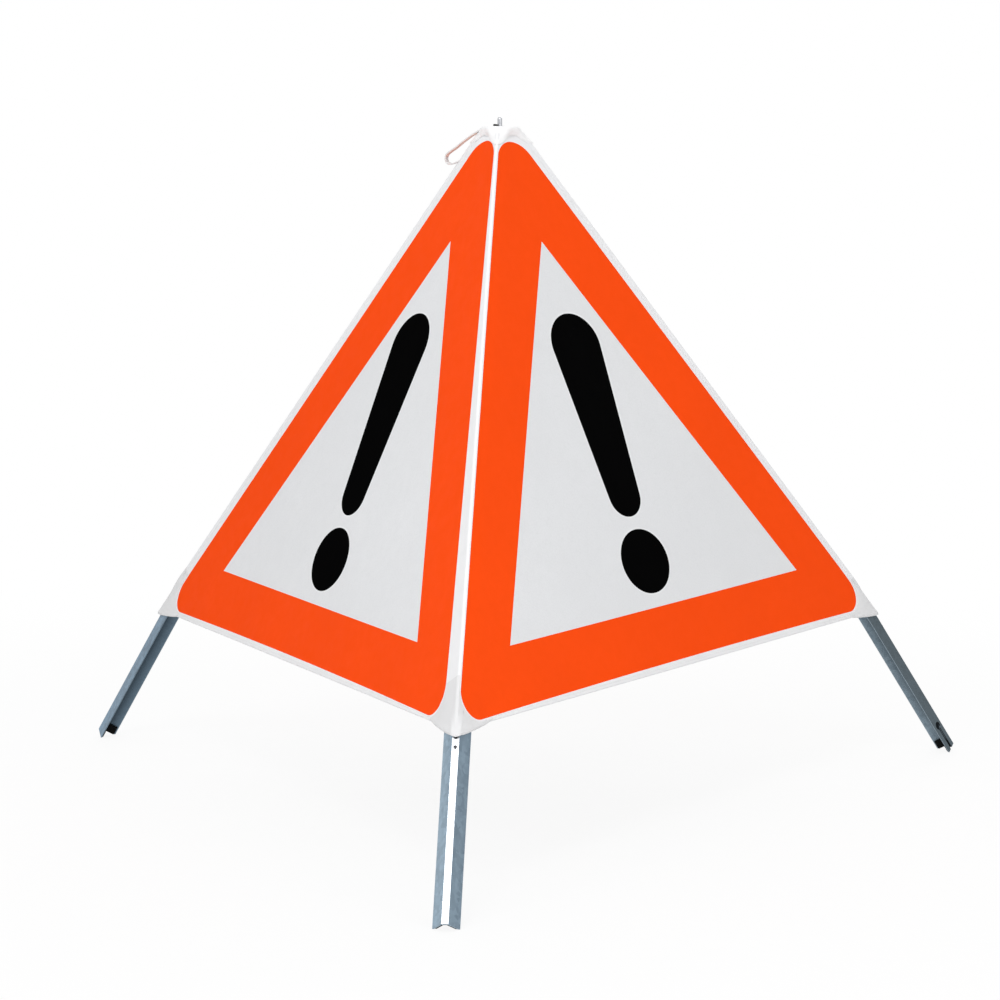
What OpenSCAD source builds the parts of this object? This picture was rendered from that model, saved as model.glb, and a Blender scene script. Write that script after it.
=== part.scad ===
// Folding roadworks warning sign: three bent channel legs hinged under a small head,
// a sprung spreader on a central mast, and a three sided cloth cover over the legs.
// Millimetres, +Z up, origin on the ground under the head. The front leg points to -Y.

/* [Stance] */
// Lean of each leg from the vertical when the frame stands open, in degrees
spread_angle = 39.4; // [36:0.2:43]
// Inward bend of each leg where the cover corner pulls on it, in degrees
leg_bend = 5.3; // [3:0.1:7]

/* [Legs] */
// Distance along the leg from its hinge pin to the middle of the bend
bend_at = 830; // [760:1:900]
// Length of the bent stretch along the crown
bend_len = 36; // [20:1:36]
// Straight length below the bend
foot_len = 222; // [180:1:270]
// Length of leg above its hinge pin
leg_top = 6; // [5:0.5:8]
// Width across the flange tips
leg_w = 31; // [28:0.5:34]
// Width of the flat crown
crown_w = 8; // [7:0.5:10]
// Depth from the crown to the flange tips
leg_depth = 17; // [15:0.5:20]
// Thickness of the leg sheet
sheet_t = 2; // [1.5:0.1:2.5]
// Depth of the pivots under the crown
pin_depth = 9; // [8:0.5:10.5]
// Diameter of all pivot pins
pin_d = 5; // [4:0.5:6]
// Length of the rubber liner in the end of each leg
plug_len = 13; // [5:0.5:20]
// Thickness of the rubber liner
plug_t = 1.8; // [1:0.1:2.5]
// Diameter of the round end of the keyhole
keyhole_d = 11; // [8:0.5:12]
// Width of the keyhole slot
keyhole_slot = 4.5; // [3:0.5:6]
// Distance from the keyhole to the end of the leg
keyhole_up = 40; // [20:1:50]

/* [Head] */
// Diameter of the head hub
hub_d = 18; // [16:0.5:20]
// Depth of the hub below the hinge pins
hub_drop = 16; // [14:0.5:24]
// Diameter of the top flange under the cap
flange_d = 40; // [34:0.5:42]
// Thickness of the top flange
flange_t = 3.5; // [2:0.5:5]
// Diameter of the lamp pin
lamp_pin_d = 6; // [4:0.5:8]
// Height of the lamp pin above the head
lamp_pin_h = 13; // [8:0.5:40]
// Depth of the lamp pin spigot in the head
lamp_pin_seat = 8; // [5:0.5:10]
// Diameter of the lamp pin spigot
lamp_spigot_d = 5; // [3:0.5:6]

/* [Spreader] */
// Distance between the two pivots of a strut
strut_len = 280; // [240:1:300]
// Diameter of the mast
mast_d = 10; // [8:0.5:11]
// Depth of the mast in the hub
mast_seat = 12; // [8:0.5:13]
// Diameter of the runner barrel
runner_d = 22; // [18:0.5:24]
// Height of the runner barrel
runner_h = 28; // [20:1:40]
// Thickness of each runner ear
ear_t = 3; // [2:0.5:4]
// Diameter of the stop collar over the runner
collar_d = 18; // [15:0.5:22]
// Height of the stop collar
collar_h = 8; // [5:0.5:15]
// Length of the spring when the frame stands open
spring_len = 190; // [150:1:220]
// Mean diameter of the spring
spring_d = 17; // [15:0.5:19]
// Diameter of the spring wire
wire_d = 2.4; // [1.8:0.1:2.8]
// Turns of the spring
spring_turns = 14; // [10:1:16]
// Diameter of the washer under the spring
seat_d = 24; // [21:0.5:30]
// Thickness of the washer under the spring
seat_t = 2.5; // [1.5:0.5:4]
// Width across the flats of the mast nut
nut_w = 17; // [15:0.5:22]
// Height of the mast nut
nut_h = 8; // [5:0.5:12]

/* [Cover] */
// Length of each cover ridge from the point where the ridges would meet
ridge_len = 900; // [860:1:940]
// Thickness of the cloth
cloth_t = 1.2; // [0.8:0.1:1.5]
// Width of the ridge sleeve on each side, measured on the face
sleeve_wing = 13; // [12:0.5:18]
// Width of the corner pocket on each side, measured on the face
pocket_wing = 30; // [22:1:40]
// Length of the corner pocket along the ridge
pocket_len = 80; // [60:1:110]
// Height of the cap on the middle of a face, from the meeting point of the ridges
cap_w = 50; // [48:0.5:60]
// Diameter of the opening in the cap round the lamp pin
cap_hole_d = 13; // [11:0.5:16]
// Width of the folded hem along the lower edge
hem_w = 12; // [8:0.5:20]
// Diameter of the rivet shanks under each pocket
rivet_d = 3; // [2:0.2:4]
// Diameter of the rivet heads
rivet_head_d = 4; // [3.6:0.2:6]
// Height of the rivet heads
rivet_head_h = 0.9; // [0.6:0.1:2]
// Distance between the two rivets
rivet_pitch = 12; // [10:0.5:20]

/* [Strap] */
// Width of the strap loop
strap_w = 10; // [8:0.5:20]
// Thickness of the strap
strap_t = 1.6; // [1:0.1:2.5]
// Radius of the turn at the end of the loop
strap_turn_r = 5; // [4:0.5:7]
// Distance of that turn from the mast axis
strap_out = 73; // [62:1:84]
// Depth of that turn below the point where the ridges would meet
strap_down = 78; // [72:1:80]
// Place on the ridge where the loop is sewn down
strap_root = 96; // [88:1:104]

/* [Hidden] */
$fn = 48;

// Directions of the legs round the mast
front_angle = -90;
right_angle = 30;
left_angle = 150;
third_turn = 120;
full_turn = 3 * third_turn;
side_ahead = 1;
side_behind = -1;

// Clearances
run_gap = 0.05;
side_gap = 0.5;
eye_gap = 1;
cloth_gap = 0.35;
seam_gap = 0.3;
flush = 0.2;
over = 1;
bend_steps = 4;

// Leg section
flange_run = (leg_w - crown_w) / 2;
flange_slope = flange_run / leg_depth;
flange_len = norm([flange_run, leg_depth]);
flange_tilt = atan2(leg_depth, flange_run);
flange_wall = sheet_t * sqrt(1 + flange_slope * flange_slope);
function outer_half(depth) = crown_w / 2 + flange_slope * depth;
function inner_half(depth) = outer_half(depth) - flange_wall;

// Eyes that sit in the channel, for the head lugs and the struts
eye_d = 2 * (pin_depth - sheet_t - eye_gap);
eye_t = 2 * (inner_half(pin_depth - eye_d / 2) - side_gap);
washer_d = eye_d - 3 * eye_gap;
washer_t = inner_half(pin_depth - washer_d / 2) - eye_t / 2 - 2 * run_gap;

// Radius of the hinge pins that keeps the three leg tops apart
hinge_r = leg_top * sin(spread_angle) + (leg_depth - pin_depth) * cos(spread_angle)
    + (side_gap + leg_w / 4) / sin(third_turn / 2);

// Leg line below the pin, with the height of the pin that sets the flange tips on the ground
bend_r = bend_len / (leg_bend * PI / 180);
bend_start = bend_at - bend_len / 2;
leg_along = bend_start + bend_len + foot_len;
tip_x = bend_start + bend_r * sin(leg_bend) + foot_len * cos(leg_bend) - leg_depth * sin(leg_bend);
tip_n = pin_depth - bend_r * (1 - cos(leg_bend)) - foot_len * sin(leg_bend) - leg_depth * cos(leg_bend);
pin_z = tip_x * cos(spread_angle) - tip_n * sin(spread_angle);

// Head heights above the pins
leg_top_z = leg_top * cos(spread_angle) + pin_depth * sin(spread_angle);
flange_z = pin_z + leg_top_z + side_gap;
head_top_z = flange_z + flange_t;

// Spreader levels
runner_z = pin_z - 2 * strut_len * cos(spread_angle);
runner_top_z = runner_z + runner_h / 2;
spring_top_z = runner_z - runner_h / 2;
seat_z = spring_top_z - spring_len;
nut_z = seat_z - seat_t - nut_h;
ear_y = eye_t / 2 + seam_gap;

// Cover faces: tilt about the ridge, half angle at the apex, slope of the face middle
face_tilt = atan(tan(third_turn / 4) / cos(spread_angle));
face_half = asin(sin(spread_angle) * sin(third_turn / 2));
face_lean = atan(tan(spread_angle) / 2);
ridge_up = (cloth_t + cloth_gap + crown_w / 2 * cos(face_tilt)) / sin(face_tilt);
wrap_up = cloth_gap + cloth_t;
wrap_y = (ridge_up - wrap_up) / cos(face_tilt);
apex_up = (pin_depth + ridge_up + hinge_r * cos(spread_angle)) / sin(spread_angle);
apex_z = pin_z + apex_up;
apex_along = hinge_r * sin(spread_angle) + apex_up * cos(spread_angle);
face_len = ridge_len * cos(face_half);
pocket_from = ridge_len - pocket_len;
sleeve_from = (cap_w + seam_gap) / cos(face_half);

// Cap outline: its rim lies on the faces, its corners on the ridge wraps
cap_rim_z = apex_z - cap_w * cos(face_lean);
cap_apothem = cap_w * sin(face_lean);
cap_corner_r = (apex_z - cap_rim_z) * tan(spread_angle) - (ridge_up - wrap_up) / cos(spread_angle);
cap_corner_half = (cap_apothem - cap_corner_r * cos(third_turn / 2)) / sin(third_turn / 2);
cap_top_r = flange_d / 2 + cloth_gap + cloth_t;
cap_top_z = head_top_z + wrap_up;

// Place of a frame on a leg: X down the leg, Y round the mast, Z out of the crown
module leg_frame(az) {
    translate([0, 0, pin_z])
        rotate([0, 0, az])
            translate([hinge_r, 0, 0])
                rotate([0, 90 - spread_angle, 0])
                    children();
}

// Place on the crown at a distance along the leg from its hinge pin
module on_crown(along) {
    turn = leg_turn(along);
    translate([min(along, bend_start), 0, pin_depth - bend_r])
        rotate([0, turn, 0])
            translate([max(along - bend_start - bend_len, 0), 0, bend_r])
                children();
}

// Face frame: X down the ridge from the apex, Y across the face, Z out of the face
module face_frame(az, side) {
    leg_frame(az)
        translate([-apex_along, 0, pin_depth + ridge_up])
            mirror([0, side < 0 ? 1 : 0, 0])
                rotate([face_tilt - 90, 0, 0])
                    children();
}

// Turns a flat outline, with X across and Y outward, to run along the leg
module along_leg(len) {
    rotate([90, 0, 90])
        linear_extrude(len)
            children();
}

// Corners of the leg section: across the leg and out from the crown
leg_outline = [
    [-leg_w / 2, -leg_depth], [-crown_w / 2, 0], [crown_w / 2, 0], [leg_w / 2, -leg_depth],
    [inner_half(leg_depth), -leg_depth], [inner_half(sheet_t), -sheet_t],
    [-inner_half(sheet_t), -sheet_t], [-inner_half(leg_depth), -leg_depth]
];

// Distances along the crown where the leg has a section: both ends and the steps of the bend
leg_stations = concat(
    [-leg_top],
    [for (k = [0 : bend_steps]) bend_start + bend_len * k / bend_steps],
    [leg_along]
);

function leg_turn(along) = leg_bend * min(max((along - bend_start) / bend_len, 0), 1);
function leg_point(along, p) = let (
    turn = leg_turn(along),
    after = max(along - bend_start - bend_len, 0),
    r = bend_r + p[1]
) [
    min(along, bend_start) + r * sin(turn) + after * cos(leg_bend),
    p[0],
    pin_depth - bend_r + r * cos(turn) - after * sin(leg_bend)
];

// The bent channel as one skin through its sections
module channel() {
    sides = len(leg_outline);
    last = (len(leg_stations) - 1) * sides;
    points = [for (along = leg_stations, p = leg_outline) leg_point(along, p)];
    walls = [for (i = [0 : len(leg_stations) - 2], k = [0 : sides - 1])
        let (a = i * sides + k, b = i * sides + (k + 1) % sides)
            [a, b, b + sides, a + sides]];
    end_parts = [[0, 1, 6, 7], [1, 2, 5, 6], [2, 3, 4, 5]];
    top_end = [for (q = end_parts) [q[3], q[2], q[1], q[0]]];
    foot_end = [for (q = end_parts) [for (k = q) last + k]];
    polyhedron(points, concat(walls, top_end, foot_end));
}

module cross_hole(d) {
    rotate([90, 0, 0])
        cylinder(d = d, h = leg_w + 2 * over, center = true);
}

module rivet_places() {
    for (n = [0, 1])
        on_crown(ridge_len - apex_along + rivet_head_d / 2 + n * rivet_pitch)
            children();
}

// Keyhole through one flange near the end of the leg, with its slot open at the end
module keyhole_cut() {
    on_crown(leg_along - keyhole_up)
        translate([0, -crown_w / 2, 0])
            rotate([flange_tilt, 0, 0])
                translate([0, -flange_len / 2, 0]) {
                    cylinder(d = keyhole_d, h = 2 * (sheet_t + over), center = true);
                    translate([0, -keyhole_slot / 2, -sheet_t - over])
                        cube([keyhole_up + over, keyhole_slot, 2 * (sheet_t + over)]);
                }
}

module leg(az, keyhole = false) {
    color("lightslategray")
        leg_frame(az)
            difference() {
                channel();
                cross_hole(pin_d + 2 * run_gap);
                translate([strut_len, 0, 0])
                    cross_hole(pin_d + 2 * run_gap);
                rivet_places()
                    cylinder(d = rivet_d + 2 * run_gap, h = 2 * (sheet_t + over), center = true);
                if (keyhole)
                    keyhole_cut();
            }
}

// Pin across the channel, its ends dressed flush with the sloping flanges
module channel_pin(az, along) {
    color("silver")
        leg_frame(az)
            translate([along, 0, 0])
                intersection() {
                    rotate([90, 0, 0])
                        cylinder(d = pin_d, h = leg_w, center = true);
                    translate([-pin_d, 0, pin_depth])
                        along_leg(2 * pin_d)
                            polygon([
                                [-outer_half(leg_depth) + flush, -leg_depth], [-outer_half(0) + flush, 0],
                                [outer_half(0) - flush, 0], [outer_half(leg_depth) - flush, -leg_depth]
                            ]);
                }
}

module washer_pair() {
    for (side = [side_behind, side_ahead])
        translate([0, side * (eye_t / 2 + run_gap + washer_t / 2), 0])
            rotate([90, 0, 0])
                difference() {
                    cylinder(d = washer_d, h = washer_t, center = true);
                    cylinder(d = pin_d + 2 * run_gap, h = washer_t + over, center = true);
                }
}

module pivot_washers(az) {
    color("dimgray")
        leg_frame(az) {
            washer_pair();
            translate([strut_len, 0, 0])
                washer_pair();
        }
}

// Trapezoid under the crown between two depths, a side gap inside the channel
module channel_inside(top, bottom, gap) {
    polygon([
        [-inner_half(bottom) + gap, -bottom], [-inner_half(top) + gap, -top],
        [inner_half(top) - gap, -top], [inner_half(bottom) - gap, -bottom]
    ]);
}

// Rubber liner in the end of the channel
module foot_plug(az) {
    color("black")
        leg_frame(az)
            on_crown(leg_along - plug_len)
                along_leg(plug_len - flush)
                    difference() {
                        channel_inside(sheet_t + flush, leg_depth - flush, flush);
                        channel_inside(sheet_t + plug_t, leg_depth + over, flush + plug_t / sin(flange_tilt));
                    }
}

module pocket_rivets(az) {
    color("dimgray")
        leg_frame(az)
            rivet_places() {
                translate([0, 0, -sheet_t - rivet_head_h])
                    cylinder(d = rivet_d, h = sheet_t + rivet_head_h);
                cylinder(d = rivet_head_d, h = rivet_head_h);
            }
}

// Flat lug with a round eye, along X from the axis, thick in Y
module lug(reach, thick, d) {
    translate([0, -thick / 2, -d / 2])
        cube([reach, thick, d]);
    translate([reach, 0, 0])
        rotate([90, 0, 0])
            cylinder(d = d, h = thick, center = true);
}

module head_hub() {
    color("gray")
        difference() {
            union() {
                translate([0, 0, pin_z - hub_drop])
                    cylinder(d = hub_d, h = hub_drop + flange_z - pin_z);
                translate([0, 0, flange_z])
                    cylinder(d = flange_d, h = flange_t);
                for (az = [front_angle, right_angle, left_angle])
                    translate([0, 0, pin_z])
                        rotate([0, 0, az])
                            lug(hinge_r, eye_t, eye_d);
            }
            for (az = [front_angle, right_angle, left_angle])
                translate([0, 0, pin_z])
                    rotate([0, 0, az])
                        translate([hinge_r, 0, 0])
                            cross_hole(pin_d + 2 * run_gap);
            translate([0, 0, pin_z - hub_drop - over])
                cylinder(d = mast_d + 2 * run_gap, h = mast_seat + over);
            translate([0, 0, head_top_z - lamp_pin_seat])
                cylinder(d = lamp_spigot_d + 2 * run_gap, h = lamp_pin_seat + over);
        }
}

module lamp_pin() {
    color("silver") {
        translate([0, 0, head_top_z - lamp_pin_seat])
            cylinder(d = lamp_spigot_d, h = lamp_pin_seat);
        translate([0, 0, head_top_z])
            cylinder(d = lamp_pin_d, h = lamp_pin_h - lamp_pin_d / 2);
        translate([0, 0, head_top_z + lamp_pin_h - lamp_pin_d / 2])
            sphere(d = lamp_pin_d);
    }
}

module mast() {
    color("silver")
        translate([0, 0, nut_z])
            cylinder(d = mast_d, h = pin_z - hub_drop + mast_seat - nut_z);
}

module mast_ring(z, d, h) {
    translate([0, 0, z])
        difference() {
            cylinder(d = d, h = h);
            translate([0, 0, -over])
                cylinder(d = mast_d + 2 * run_gap, h = h + 2 * over);
        }
}

module stop_collar() {
    color("dimgray")
        mast_ring(runner_top_z + run_gap, collar_d, collar_h);
}

module spring_washer() {
    color("silver")
        mast_ring(seat_z - seat_t, seat_d, seat_t);
}

module mast_nut() {
    color("silver")
        translate([0, 0, nut_z])
            difference() {
                cylinder(d = nut_w / cos(third_turn / 4), h = nut_h, $fn = 6);
                translate([0, 0, -over])
                    cylinder(d = mast_d + 2 * run_gap, h = nut_h + 2 * over);
            }
}

// Spring wire: one tube along a helix whose two end turns lie nearly closed
rings_per_turn = 8;
wire_sides = 6;
dead_turns = 1;
dead_pitch = wire_d + 2 * cloth_gap;
spring_rings = spring_turns * rings_per_turn;
spring_rise = spring_len - wire_d - 2 * seam_gap;
live_pitch = (spring_rise - 2 * dead_turns * dead_pitch) / (spring_turns - 2 * dead_turns);
function spring_z(turn) = seat_z + seam_gap + wire_d / 2
    + dead_pitch * min(turn, dead_turns)
    + live_pitch * min(max(turn - dead_turns, 0), spring_turns - 2 * dead_turns)
    + dead_pitch * max(turn - spring_turns + dead_turns, 0);
function spring_point(k) = let (turn = k / rings_per_turn)
    [spring_d / 2 * cos(full_turn * turn), spring_d / 2 * sin(full_turn * turn), spring_z(turn)];
function wire_ring(k) = let (turn = k / rings_per_turn, c = spring_point(k))
    [for (s = [0 : wire_sides - 1])
        let (a = full_turn * s / wire_sides, r = wire_d / 2 * cos(a))
            c + [r * cos(full_turn * turn), r * sin(full_turn * turn), wire_d / 2 * sin(a)]];
spring_gap = min([for (k = [0 : spring_rings - rings_per_turn])
    norm(spring_point(k + rings_per_turn) - spring_point(k)) - wire_d]);
echo(str("least gap between the turns of the spring: ", spring_gap));  // spring

module spring() {
    points = [for (k = [0 : spring_rings]) each wire_ring(k)];
    last = spring_rings * wire_sides;
    walls = [for (k = [0 : spring_rings - 1], s = [0 : wire_sides - 1])
        let (a = k * wire_sides + s, b = k * wire_sides + (s + 1) % wire_sides)
            each [[a, a + wire_sides, b], [b, a + wire_sides, b + wire_sides]]];
    first_cap = [for (s = [1 : wire_sides - 2]) [0, s, s + 1]];
    last_cap = [for (s = [1 : wire_sides - 2]) [last, last + s + 1, last + s]];
    color("slategray")
        polyhedron(points, concat(walls, first_cap, last_cap));
}

module runner() {
    color("gray")
        difference() {
            union() {
                translate([0, 0, runner_z - runner_h / 2])
                    cylinder(d = runner_d, h = runner_h);
                for (az = [front_angle, right_angle, left_angle], side = [side_behind, side_ahead])
                    translate([0, 0, runner_z])
                        rotate([0, 0, az])
                            translate([0, side * (ear_y + ear_t / 2), 0])
                                lug(hinge_r, ear_t, eye_d);
            }
            translate([0, 0, runner_z - runner_h / 2 - over])
                cylinder(d = mast_d + 2 * run_gap, h = runner_h + 2 * over);
            for (az = [front_angle, right_angle, left_angle])
                translate([0, 0, runner_z])
                    rotate([0, 0, az])
                        translate([hinge_r, 0, 0])
                            cross_hole(pin_d + 2 * run_gap);
        }
}

module runner_pins() {
    color("silver")
        for (az = [front_angle, right_angle, left_angle])
            translate([0, 0, runner_z])
                rotate([0, 0, az])
                    translate([hinge_r, 0, 0])
                        rotate([90, 0, 0])
                            cylinder(d = pin_d, h = 2 * (ear_y + ear_t), center = true);
}

// Strut from the runner up to its leg
module strut(az) {
    color("darkgray")
        translate([0, 0, runner_z])
            rotate([0, 0, az])
                translate([hinge_r, 0, 0])
                    rotate([0, spread_angle - 90, 0])
                        difference() {
                            union() {
                                lug(strut_len, eye_t, eye_d);
                                rotate([90, 0, 0])
                                    cylinder(d = eye_d, h = eye_t, center = true);
                            }
                            cross_hole(pin_d + 2 * run_gap);
                            translate([strut_len, 0, 0])
                                cross_hole(pin_d + 2 * run_gap);
                        }
}

// Outline of the cloth wrapped over the crown, with its two wings along the faces
function wing_point(across, deep) = [
    across * sin(face_tilt) - deep * cos(face_tilt),
    ridge_up - across * cos(face_tilt) - deep * sin(face_tilt)
];
function inner_wrap_y() = (ridge_up - cloth_gap - cloth_t / sin(face_tilt)) / cos(face_tilt);
wrap_half = [
    [wing_point(wrap_y, 0)[0], wrap_up], wing_point(sleeve_wing, 0), wing_point(sleeve_wing, cloth_t),
    [inner_wrap_y() * sin(face_tilt), cloth_gap]
];
wrap_outline = concat(
    wrap_half,
    [for (k = [len(wrap_half) - 1 : -1 : 0]) [-wrap_half[k][0], wrap_half[k][1]]]
);

module crown_wrap(from, to) {
    translate([from - apex_along, 0, pin_depth])
        along_leg(to - from)
            polygon(wrap_outline);
}

module ridge_sleeve(az) {
    color("white")
        leg_frame(az)
            crown_wrap(sleeve_from, pocket_from - seam_gap);
}

// Place along the ridge where the lower edge of a face lies, at a distance across the face
function edge_along(across, to = face_len) = (to - across * sin(face_half)) / cos(face_half);

module corner_pocket(az) {
    lap = sleeve_wing - cloth_t;
    color("whitesmoke") {
        leg_frame(az)
            crown_wrap(pocket_from, edge_along(sleeve_wing));
        for (side = [side_behind, side_ahead])
            face_frame(az, side)
                translate([0, 0, -cloth_t])
                    linear_extrude(cloth_t)
                        polygon([
                            [pocket_from, lap], [edge_along(lap), lap],
                            [edge_along(pocket_wing), pocket_wing], [pocket_from, pocket_wing]
                        ]);
    }
}

// Point on the middle line of a face, drawn back by half the gap between its two halves
function middle_point(down) = [
    down * cos(face_half) + seam_gap / 2 * sin(face_half),
    down * sin(face_half) - seam_gap / 2 * cos(face_half)
];

// Half of a face from its ridge sleeve to the middle, with the hem doubled inside
module panel(az, side) {
    inset = sleeve_wing + seam_gap;
    beside_pocket = pocket_wing + seam_gap;
    top = cap_w + seam_gap;
    color("orangered")
        face_frame(az, side) {
            translate([0, 0, -cloth_t])
                linear_extrude(cloth_t)
                    polygon([
                        [edge_along(inset, top), inset], [pocket_from - seam_gap, inset],
                        [pocket_from - seam_gap, beside_pocket], [edge_along(beside_pocket), beside_pocket],
                        middle_point(face_len), middle_point(top)
                    ]);
            translate([0, 0, -2 * cloth_t])
                linear_extrude(cloth_t)
                    polygon([
                        [edge_along(beside_pocket, face_len - hem_w), beside_pocket],
                        [edge_along(beside_pocket), beside_pocket],
                        middle_point(face_len), middle_point(face_len - hem_w)
                    ]);
        }
}

// Rim outline of the cap, drawn in by a wall
function cap_rim(wall) = [
    for (az = [front_angle, right_angle, left_angle], side = [side_behind, side_ahead])
        let (r = cap_corner_r - wall, h = side * (cap_corner_half - wall * tan(third_turn / 4)))
            [r * cos(az) - h * sin(az), r * sin(az) + h * cos(az)]
];

module cap_shell(wall, drop) {
    hull() {
        translate([0, 0, cap_top_z - wall - cloth_t])
            cylinder(r = cap_top_r - wall, h = cloth_t);
        translate([0, 0, cap_rim_z - drop])
            linear_extrude(cloth_t + drop)
                polygon(cap_rim(wall));
    }
}

module cover_cap() {
    color("white")
        difference() {
            cap_shell(0, 0);
            cap_shell(cloth_t, over);
            translate([0, 0, cap_top_z - over - cloth_t])
                cylinder(d = cap_hole_d, h = cloth_t + 2 * over);
        }
}

// Strap loop in the plane of the left leg, as distance from the mast axis and height
cap_side = [(cap_top_r + cap_corner_r) / 2, (cap_top_z + cap_rim_z + cloth_t) / 2];
cap_fall = [cap_corner_r - cap_top_r, cap_rim_z + cloth_t - cap_top_z];
cap_out = [-cap_fall[1], cap_fall[0]] / norm(cap_fall);
strap_start = cap_side + cap_out * (cloth_gap + strap_t / 2);
sleeve_out = [cos(spread_angle), sin(spread_angle)];
strap_end = [0, apex_z] + strap_root * [sin(spread_angle), -cos(spread_angle)]
    + sleeve_out * (strap_t / 2 + cloth_gap + wrap_up - ridge_up);
strap_centre = [strap_out, apex_z - strap_down];
turn_steps = 12;
function heading(v) = atan2(v[1], v[0]);
function tangent_angle(p, side) = let (v = p - strap_centre)
    heading(v) + side * acos(strap_turn_r / norm(v));
turn_from = tangent_angle(strap_start, side_behind);
turn_to = turn_from - (turn_from - tangent_angle(strap_end, side_ahead) + full_turn) % full_turn;
strap_line = concat(
    [strap_start],
    [for (k = [0 : turn_steps])
        let (a = turn_from + (turn_to - turn_from) * k / turn_steps)
            strap_centre + strap_turn_r * [cos(a), sin(a)]],
    [strap_end]
);
function strap_edge(k, side) = let (
    a = strap_line[max(k - 1, 0)],
    b = strap_line[min(k + 1, len(strap_line) - 1)],
    v = (b - a) / norm(b - a)
) strap_line[k] + side * strap_t / 2 * [-v[1], v[0]];

module carry_strap() {
    steps = len(strap_line) - 1;
    color("white")
        rotate([0, 0, left_angle])
            rotate([90, 0, 0])
                translate([0, 0, -strap_w / 2])
                    linear_extrude(strap_w)
                        polygon(concat(
                            [for (k = [0 : steps]) strap_edge(k, side_ahead)],
                            [for (k = [steps : -1 : 0]) strap_edge(k, side_behind)]
                        ));
}

head_hub();
lamp_pin();
mast();
stop_collar();
spring();
spring_washer();
mast_nut();
cover_cap();
carry_strap();
runner();
runner_pins();
leg(front_angle);  // leg_front
leg(left_angle);  // leg_left
leg(right_angle, keyhole = true);  // leg_right
channel_pin(front_angle, 0);  // hinge_pin_front
channel_pin(left_angle, 0);  // hinge_pin_left
channel_pin(right_angle, 0);  // hinge_pin_right
channel_pin(front_angle, strut_len);  // strut_pin_front
channel_pin(left_angle, strut_len);  // strut_pin_left
channel_pin(right_angle, strut_len);  // strut_pin_right
pivot_washers(front_angle);  // pivot_washers_front
pivot_washers(left_angle);  // pivot_washers_left
pivot_washers(right_angle);  // pivot_washers_right
foot_plug(front_angle);  // foot_plug_front
foot_plug(left_angle);  // foot_plug_left
foot_plug(right_angle);  // foot_plug_right
pocket_rivets(front_angle);  // pocket_rivets_front
pocket_rivets(left_angle);  // pocket_rivets_left
pocket_rivets(right_angle);  // pocket_rivets_right
ridge_sleeve(front_angle);  // ridge_sleeve_front
ridge_sleeve(left_angle);  // ridge_sleeve_left
ridge_sleeve(right_angle);  // ridge_sleeve_right
corner_pocket(front_angle);  // corner_pocket_front
corner_pocket(left_angle);  // corner_pocket_left
corner_pocket(right_angle);  // corner_pocket_right
strut(front_angle);  // strut_front
strut(left_angle);  // strut_left
strut(right_angle);  // strut_right
panel(front_angle, side_ahead);  // panel_front_to_right
panel(right_angle, side_behind);  // panel_right_to_front
panel(front_angle, side_behind);  // panel_front_to_left
panel(left_angle, side_ahead);  // panel_left_to_front
panel(left_angle, side_behind);  // panel_left_to_right
panel(right_angle, side_ahead);  // panel_right_to_left
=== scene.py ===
"""Looks of the folding roadworks sign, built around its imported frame. Metres; lengths below are in millimetres."""
import math

import bpy
import numpy as np
from mathutils import Matrix, Vector
from mathutils.geometry import delaunay_2d_cdt


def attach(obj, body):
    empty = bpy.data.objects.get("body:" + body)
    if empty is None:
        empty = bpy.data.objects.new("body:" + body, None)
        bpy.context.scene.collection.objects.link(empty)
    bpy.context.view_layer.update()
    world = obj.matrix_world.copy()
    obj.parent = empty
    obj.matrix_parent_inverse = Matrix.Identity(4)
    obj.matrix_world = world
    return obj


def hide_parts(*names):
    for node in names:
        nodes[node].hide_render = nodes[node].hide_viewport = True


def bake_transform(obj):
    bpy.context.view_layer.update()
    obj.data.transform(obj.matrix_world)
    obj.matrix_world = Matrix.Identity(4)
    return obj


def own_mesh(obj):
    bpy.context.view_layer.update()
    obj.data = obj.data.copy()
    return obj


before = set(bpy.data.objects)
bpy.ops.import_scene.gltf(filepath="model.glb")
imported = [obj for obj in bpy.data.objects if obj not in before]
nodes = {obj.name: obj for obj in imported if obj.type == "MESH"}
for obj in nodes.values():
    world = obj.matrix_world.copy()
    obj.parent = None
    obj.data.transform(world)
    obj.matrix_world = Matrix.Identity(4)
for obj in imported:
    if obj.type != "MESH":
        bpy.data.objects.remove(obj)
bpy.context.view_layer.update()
MM = 0.001

# Sizes of the CAD source that the cloth is laid on
SPREAD = math.radians(39.4)
CROWN_W, PIN_DEPTH, CLOTH_T, CLOTH_GAP = 8.0, 9.0, 1.2, 0.35
HINGE_R, PIN_Z, HEAD_TOP = 19.51653, 843.94220, 858.29117
RIDGE_LEN, STRUT_LEN, FOLD = 900.0, 280.0, math.radians(37.5)
LEG_DEPTH, LEG_BEND = 17.0, math.radians(5.3)
FLANGE_OUT, FLANGE_UP = 0.83, 0.56
PEG_HOLE = np.array([0.57425, 0.32124, 0.03757])
FACE_TILT = math.atan(math.tan(math.radians(30)) / math.cos(SPREAD))
FACE_HALF = math.asin(math.sin(SPREAD) * math.sin(math.radians(60)))
FACE_LEAN = math.atan(math.tan(SPREAD) / 2)
WRAP_UP = CLOTH_T + CLOTH_GAP
RIDGE_UP = (WRAP_UP + CROWN_W / 2 * math.cos(FACE_TILT)) / math.sin(FACE_TILT)
APEX_UP = (PIN_DEPTH + RIDGE_UP + HINGE_R * math.cos(SPREAD)) / math.sin(SPREAD)
APEX_Z = PIN_Z + APEX_UP
APEX_ALONG = HINGE_R * math.sin(SPREAD) + APEX_UP * math.cos(SPREAD)
FACE_LEN = RIDGE_LEN * math.cos(FACE_HALF)
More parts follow.
